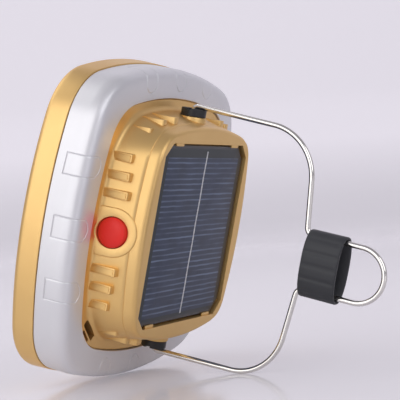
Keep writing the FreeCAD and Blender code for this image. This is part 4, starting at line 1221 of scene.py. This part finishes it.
# ---- pivots and bail
@dataclass(frozen=True)
class BailPlane:
    """The upright plane that the wire lies in, swung a little about the pivot line."""

    pivot_level: float = 23.7
    swing: float = 3.0

    def own(self, reach: np.ndarray, height: np.ndarray, side: np.ndarray) -> np.ndarray:
        """Own points from the plane: reach out from the pivot, height, and to its side."""
        angle = math.radians(self.swing)
        return np.stack([reach * math.sin(angle) + side * math.cos(angle),
                         self.pivot_level + reach * math.cos(angle) - side * math.sin(angle),
                         height], axis=-1)

    def turn(self, grid: np.ndarray, sign: float) -> np.ndarray:
        """Swing points given with their X to the side, Y from the pivot and Z times the sign."""
        side, reach, height = np.moveaxis(grid, -1, 0)
        return self.own(reach, height * sign, side)


@dataclass
class PivotDiscs:
    """Black round caps on the bosses, with a groove for the wire and a slot across."""

    shop: Workshop
    plane: BailPlane = BailPlane()
    base: float = 50.8
    top: float = 54.2
    radius: float = 5.6
    rim: float = 0.4
    foot_bevel: float = 0.15
    bore: float = 1.25
    bore_start: float = 51.0
    bend_floor: float = 53.5
    bend_reach: float = 2.0
    groove_floor: float = 54.0
    groove_half: float = 1.3
    groove_reach: float = 8.0
    slot_floor: float = 53.35
    slot_reach: float = 7.0
    cut_top: float = 56.5

    def build(self) -> None:
        """Turn each cap about the pivot line and cut its bore, bend room, groove and slot."""
        top, radius, rim, half = self.top, self.radius, self.rim, self.groove_half
        turn = np.linspace(0.0, math.pi / 2, 6)
        profile = [(self.base, radius - self.foot_bevel), (self.base + self.foot_bevel, radius)]
        profile += [(top - rim + rim * math.sin(t), radius - rim + rim * math.cos(t)) for t in turn]
        centre = (0.0, 0.0, 0.0)
        cuts = [turned([(self.bore_start, self.bore), (self.cut_top, self.bore)], 2, centre, 32),
                soft_block((-self.bore, 0.0, self.bend_floor),
                           (self.bore, self.bend_reach, self.cut_top), 2, 0.3, 0.05),
                turned([(0.0, half), (self.groove_reach, half)], 1,
                       (0.0, 0.0, self.groove_floor + half), 32),
                soft_block((-self.slot_reach, -half, self.slot_floor),
                           (self.slot_reach, half, self.cut_top), 2, 0.2, 0.05)]
        for name, node, sign in (("disc_top", "top_disc", 1.0),
                                 ("disc_bottom", "bottom_disc", -1.0)):
            blank = self.plane.turn(turned(profile, 2, centre, 72), sign)
            tools = [Surface().grid(self.plane.turn(cut, sign)) for cut in cuts]
            self.shop.piece(Surface().grid(blank), name, Rides.BAIL, "disc_black", BLACK, [node],
                            cuts=tools)


def rounded_path(corners: Sequence[tuple[float, float]], radii: Sequence[float],
                 step: float = 0.5) -> np.ndarray:
    """A flat path of straight runs joined by arcs of given radii at its inner corners."""
    points = [np.array(corners[0], float)]
    for before, corner, after, radius in zip(corners, corners[1:], corners[2:], radii):
        corner = np.array(corner, float)
        entry = np.array(before) - corner
        leave = np.array(after) - corner
        entry /= np.linalg.norm(entry)
        leave /= np.linalg.norm(leave)
        half = math.acos(float(entry @ leave)) / 2
        middle = (entry + leave) / np.linalg.norm(entry + leave)
        centre = corner + middle * radius / math.sin(half)
        start = corner + entry * radius / math.tan(half)
        end = corner + leave * radius / math.tan(half)
        sweep = math.pi - 2 * half
        for share in np.linspace(0.0, 1.0, max(6, int(radius * sweep / step))):
            ray = ((start - centre) * math.sin((1 - share) * sweep)
                   + (end - centre) * math.sin(share * sweep)) / math.sin(sweep)
            points.append(centre + ray)
    points.append(np.array(corners[-1], float))
    return np.array(points)


@dataclass
class WireBail:
    """Bright wire from pivot to pivot through the eye, and the rubber sleeve round its legs."""

    shop: Workshop
    plane: BailPlane = BailPlane()
    radius: float = 1.2
    pin_end: float = 46.5
    arm: float = 55.5
    shoulder: tuple[float, float] = (59.6, 53.2)
    neck_reach: float = 64.1
    leg: float = 11.7
    eye_reach: float = 101.3
    collar_start: float = 66.2
    collar_length: float = 16.6
    collar_half_height: float = 14.4
    collar_half_width: float = 7.2
    bore_half_height: float = 13.2
    bore_half_width: float = 5.4
    flutes: int = 5
    flute_pitch: float = 5.6
    flute_depth: float = 0.4
    flute_half: float = 0.8

    def build(self) -> None:
        """Make the wire and the sleeve."""
        self._wire()
        self._collar()

    def _wire(self) -> None:
        """Half of the path is rounded, mirrored, and the two are joined by the round eye."""
        bend = self.eye_reach - self.leg
        corners = [(0.0, self.pin_end), (0.0, self.arm), self.shoulder, (self.neck_reach, self.leg),
                   (bend, self.leg)]
        half = rounded_path(corners, (2.0, 22.5, 3.2))
        angle = np.linspace(math.pi / 2, -math.pi / 2, 60)[1:-1]
        eye = np.stack([bend + self.leg * np.cos(angle), self.leg * np.sin(angle)], axis=-1)
        path = np.concatenate([half, eye, half[::-1] * [1.0, -1.0]])
        own = self.plane.own(path[:, 0], path[:, 1], np.zeros(len(path)))
        normal = self.plane.own(0.0, 0.0, 1.0) - self.plane.own(0.0, 0.0, 0.0)
        self.shop.piece(Surface().grid(tube(own, self.radius, normal)), "bail", Rides.BAIL,
                        "wire_chrome", WIRE, ["bail_wire"], sharp=60.0)

    @staticmethod
    def _oval(half_height: float, half_width: float, count: int = 40) -> np.ndarray:
        """A flattened loop: |x/w|^2.4 + |z/h|^2.4 = 1, which bows its broad sides."""
        angle = np.linspace(0.0, 2 * math.pi, 4 * count, endpoint=False)
        power = 2 / 2.4
        return np.stack([half_width * np.sign(np.cos(angle)) * np.abs(np.cos(angle)) ** power,
                         half_height * np.sign(np.sin(angle)) * np.abs(np.sin(angle)) ** power],
                        axis=-1)

    def _collar(self) -> None:
        """Sweep the fluted outline along the legs and return through the smooth bore."""
        outer = self._oval(self.collar_half_height, self.collar_half_width)
        bore = self._oval(self.bore_half_height, self.bore_half_width)
        dent = np.zeros(len(outer))
        for index in range(self.flutes):
            middle = (index - (self.flutes - 1) / 2) * self.flute_pitch
            dent += np.exp(-((outer[:, 1] - middle) / self.flute_half) ** 2)
        narrower = 1 - self.flute_depth * dent / self.collar_half_width
        fluted = outer * narrower[:, None] ** [[1.0, 0.0]]
        start, end = self.collar_start, self.collar_start + self.collar_length
        ease = 0.45
        rim = ease * 0.3
        rows = []
        for reach, shrink, loop in (
                (start + ease, 0.0, fluted), (start + 3.0, 0.0, fluted), (end - 3.0, 0.0, fluted),
                (end - ease, 0.0, fluted), (end - rim, rim, outer), (end, ease, outer),
                (end, -ease, bore), (end - ease, 0.0, bore), (start + ease, 0.0, bore),
                (start, -ease, bore), (start, ease, outer), (start + rim, rim, outer)):
            size = np.abs(loop).max(axis=0)
            shrunk = loop * (1 - shrink / size)
            rows.append(self.plane.own(np.full(len(loop), reach), shrunk[:, 1], shrunk[:, 0]))
        self.shop.piece(Surface().grid(np.array(rows), ring=True), "collar", Rides.COLLAR,
                        "collar_rubber", SLEEVE, ["bail_collar"], sharp=50.0)


# ---- studio
@dataclass(frozen=True)
class FloorFinish:
    """Pale glossy sheet that looks paler than its light makes it, low down and more so high up.

    The glow is seen directly, in gloss and through glass, and lights nothing: it runs from
    glow_low at floor level to glow_high at the height glow_top.
    """

    name: str = "floor_gloss"
    colour: tuple[float, float, float] = (0.78, 0.765, 0.795)
    glow: tuple[float, float, float] = (0.96, 0.91, 1.0)
    glow_low: float = 0.10
    glow_high: float = 0.40
    glow_top: float = 0.20
    roughness: float = 0.14

    def build(self) -> bpy.types.Material:
        """Make the sheet's material, whose glow asks what kind of ray meets it."""
        graph = Graph(self.name)
        rays = graph.add("LightPath", "Is Camera Ray", {}).node.outputs
        seen = graph.math("MAXIMUM", rays["Is Camera Ray"], rays["Is Glossy Ray"])
        seen = graph.math("MAXIMUM", seen, rays["Is Transmission Ray"])
        height = graph.add("SeparateXYZ", "Z", {"Vector": graph.add("TexCoord", "Object", {})})
        rise = graph.add("MapRange", "Result", {
            "Value": height, "From Max": self.glow_top, "To Min": self.glow_low,
            "To Max": self.glow_high})
        return graph.finish({
            "Base Color": self.colour, "Roughness": self.roughness, "Emission Color": self.glow,
            "Emission Strength": graph.math("MULTIPLY", seen, rise)})


@dataclass(frozen=True)
class Softbox:
    """One area light: its size, power and colour, where it is and what it looks at."""

    name: str
    size: tuple[float, float]
    power: float
    colour: tuple[float, float, float]
    place: tuple[float, float, float]
    target: tuple[float, float, float] = (0.0, 0.0, 0.07)

    def build(self) -> None:
        """Add the light."""
        light = bpy.data.lights.new(self.name, "AREA")
        light.shape = "RECTANGLE"
        light.size, light.size_y = self.size
        light.energy = self.power
        light.color = self.colour
        item = linked(self.name, light)
        item.location = self.place
        aim = np.array(self.target) - np.array(self.place)
        item.rotation_euler = Vector(aim).to_track_quat("-Z", "Y").to_euler()


@dataclass
class Studio:
    """Pale glossy floor that turns up into a backdrop, soft lights and the camera."""

    stance: Stance
    lens: float = 115.27
    eye: tuple[float, float, float] = (505.54, 276.67, 77.36)
    ahead: tuple[float, float, float] = (-0.89609, -0.42995, -0.11028)
    right: tuple[float, float, float] = (-0.44326, 0.87979, 0.17175)
    pale: tuple[float, float, float] = (0.80, 0.775, 0.86)
    strength: float = 0.40

    def build(self) -> None:
        """Put up the floor, the lights, the world and the camera."""
        self._floor()
        self._world()
        for box in SOFTBOXES:
            box.build()
        self._camera()
        bpy.context.scene.view_settings.view_transform = "Standard"

    def _floor(self) -> None:
        """A sheet that runs level and then curves up far behind, as the camera sees it."""
        ahead = self.stance.aim(self.ahead)
        ahead[2] = 0.0
        ahead /= np.linalg.norm(ahead)
        side = np.array([-ahead[1], ahead[0], 0.0])
        bend = [(1.5 + math.sin(t), 1.0 - math.cos(t)) for t in np.linspace(0.1, math.pi / 2, 16)]
        run = [(-3.0, 0.0), (1.5, 0.0), *bend, (2.5, 4.0)]
        grid = np.array([[ahead * along + side * across + [0.0, 0.0, level]
                          for across in np.linspace(-4.0, 4.0, 9)] for along, level in run])
        rows, columns = grid.shape[:2]
        number = np.arange(rows * columns).reshape(rows, columns)
        quads = np.stack([number[:-1, :-1], number[:-1, 1:], number[1:, 1:], number[1:, :-1]],
                         axis=-1)
        mesh = bpy.data.meshes.new("floor")
        mesh.from_pydata(grid.reshape(-1, 3).tolist(), [], quads.reshape(-1, 4).tolist())
        mesh.shade_smooth()
        mesh.materials.append(FloorFinish().build())
        floor = linked("floor", mesh)

    def _world(self) -> None:
        """An even pale surround."""
        world = bpy.data.worlds.new("surround")
        world.use_nodes = True
        ground = world.node_tree.nodes["Background"]
        ground.inputs["Color"].default_value = (*self.pale, 1.0)
        ground.inputs["Strength"].default_value = self.strength
        bpy.context.scene.world = world

    def _camera(self) -> None:
        """A long lens at the lantern's own side, aimed along a fixed own direction."""
        camera = bpy.data.cameras.new("camera")
        camera.lens = self.lens
        camera.sensor_width = 36.0
        camera.clip_start, camera.clip_end = 0.01, 50.0
        item = linked("camera", camera)
        back = -self.stance.aim(self.ahead)
        right = self.stance.aim(self.right)
        up = np.cross(back, right)
        turn = Matrix(np.array([right, up, back]).T.tolist())
        place = Matrix.Translation(self.stance.place(np.array(self.eye)).tolist())
        item.matrix_world = place @ turn.to_4x4()
        bpy.context.scene.camera = item


SOFTBOXES = (
    Softbox("key", (2.2, 1.5), 15.0, (1.0, 0.99, 0.98), (1.8, -0.45, 0.7)),
    Softbox("over", (1.6, 1.6), 8.0, (1.0, 0.99, 0.98), (0.3, -1.2, 1.6)),
    Softbox("fill", (1.6, 1.4), 10.0, (0.97, 0.97, 1.0), (0.7, 1.8, 0.9)),
)


def main() -> None:
    """Build every piece, then the studio."""
    logging.basicConfig(level=logging.INFO, format="%(name)s: %(message)s")
    hinge = next(joint for joint in frame["joints"] if joint["name"] == "bail_swing")
    stance = Stance.from_bail(hinge, BailPlane.pivot_level)
    shop = Workshop(stance)
    for unit in (LampFace, SilverRing, RearHousing, SolarPanel, ButtonUnit, PivotDiscs, WireBail):
        unit(shop).build()
    for node, finish in NODE_FINISHES.items():
        shop.dress_node(node, finish)
    Studio(stance).build()
    bpy.context.view_layer.update()


def plain(box: Sequence[Sequence[float]]) -> list[list[float]]:
    """A box's two corners as plain lists of numbers."""
    return [[float(number) for number in corner] for corner in box]


if __name__ == "__main__":
    main()
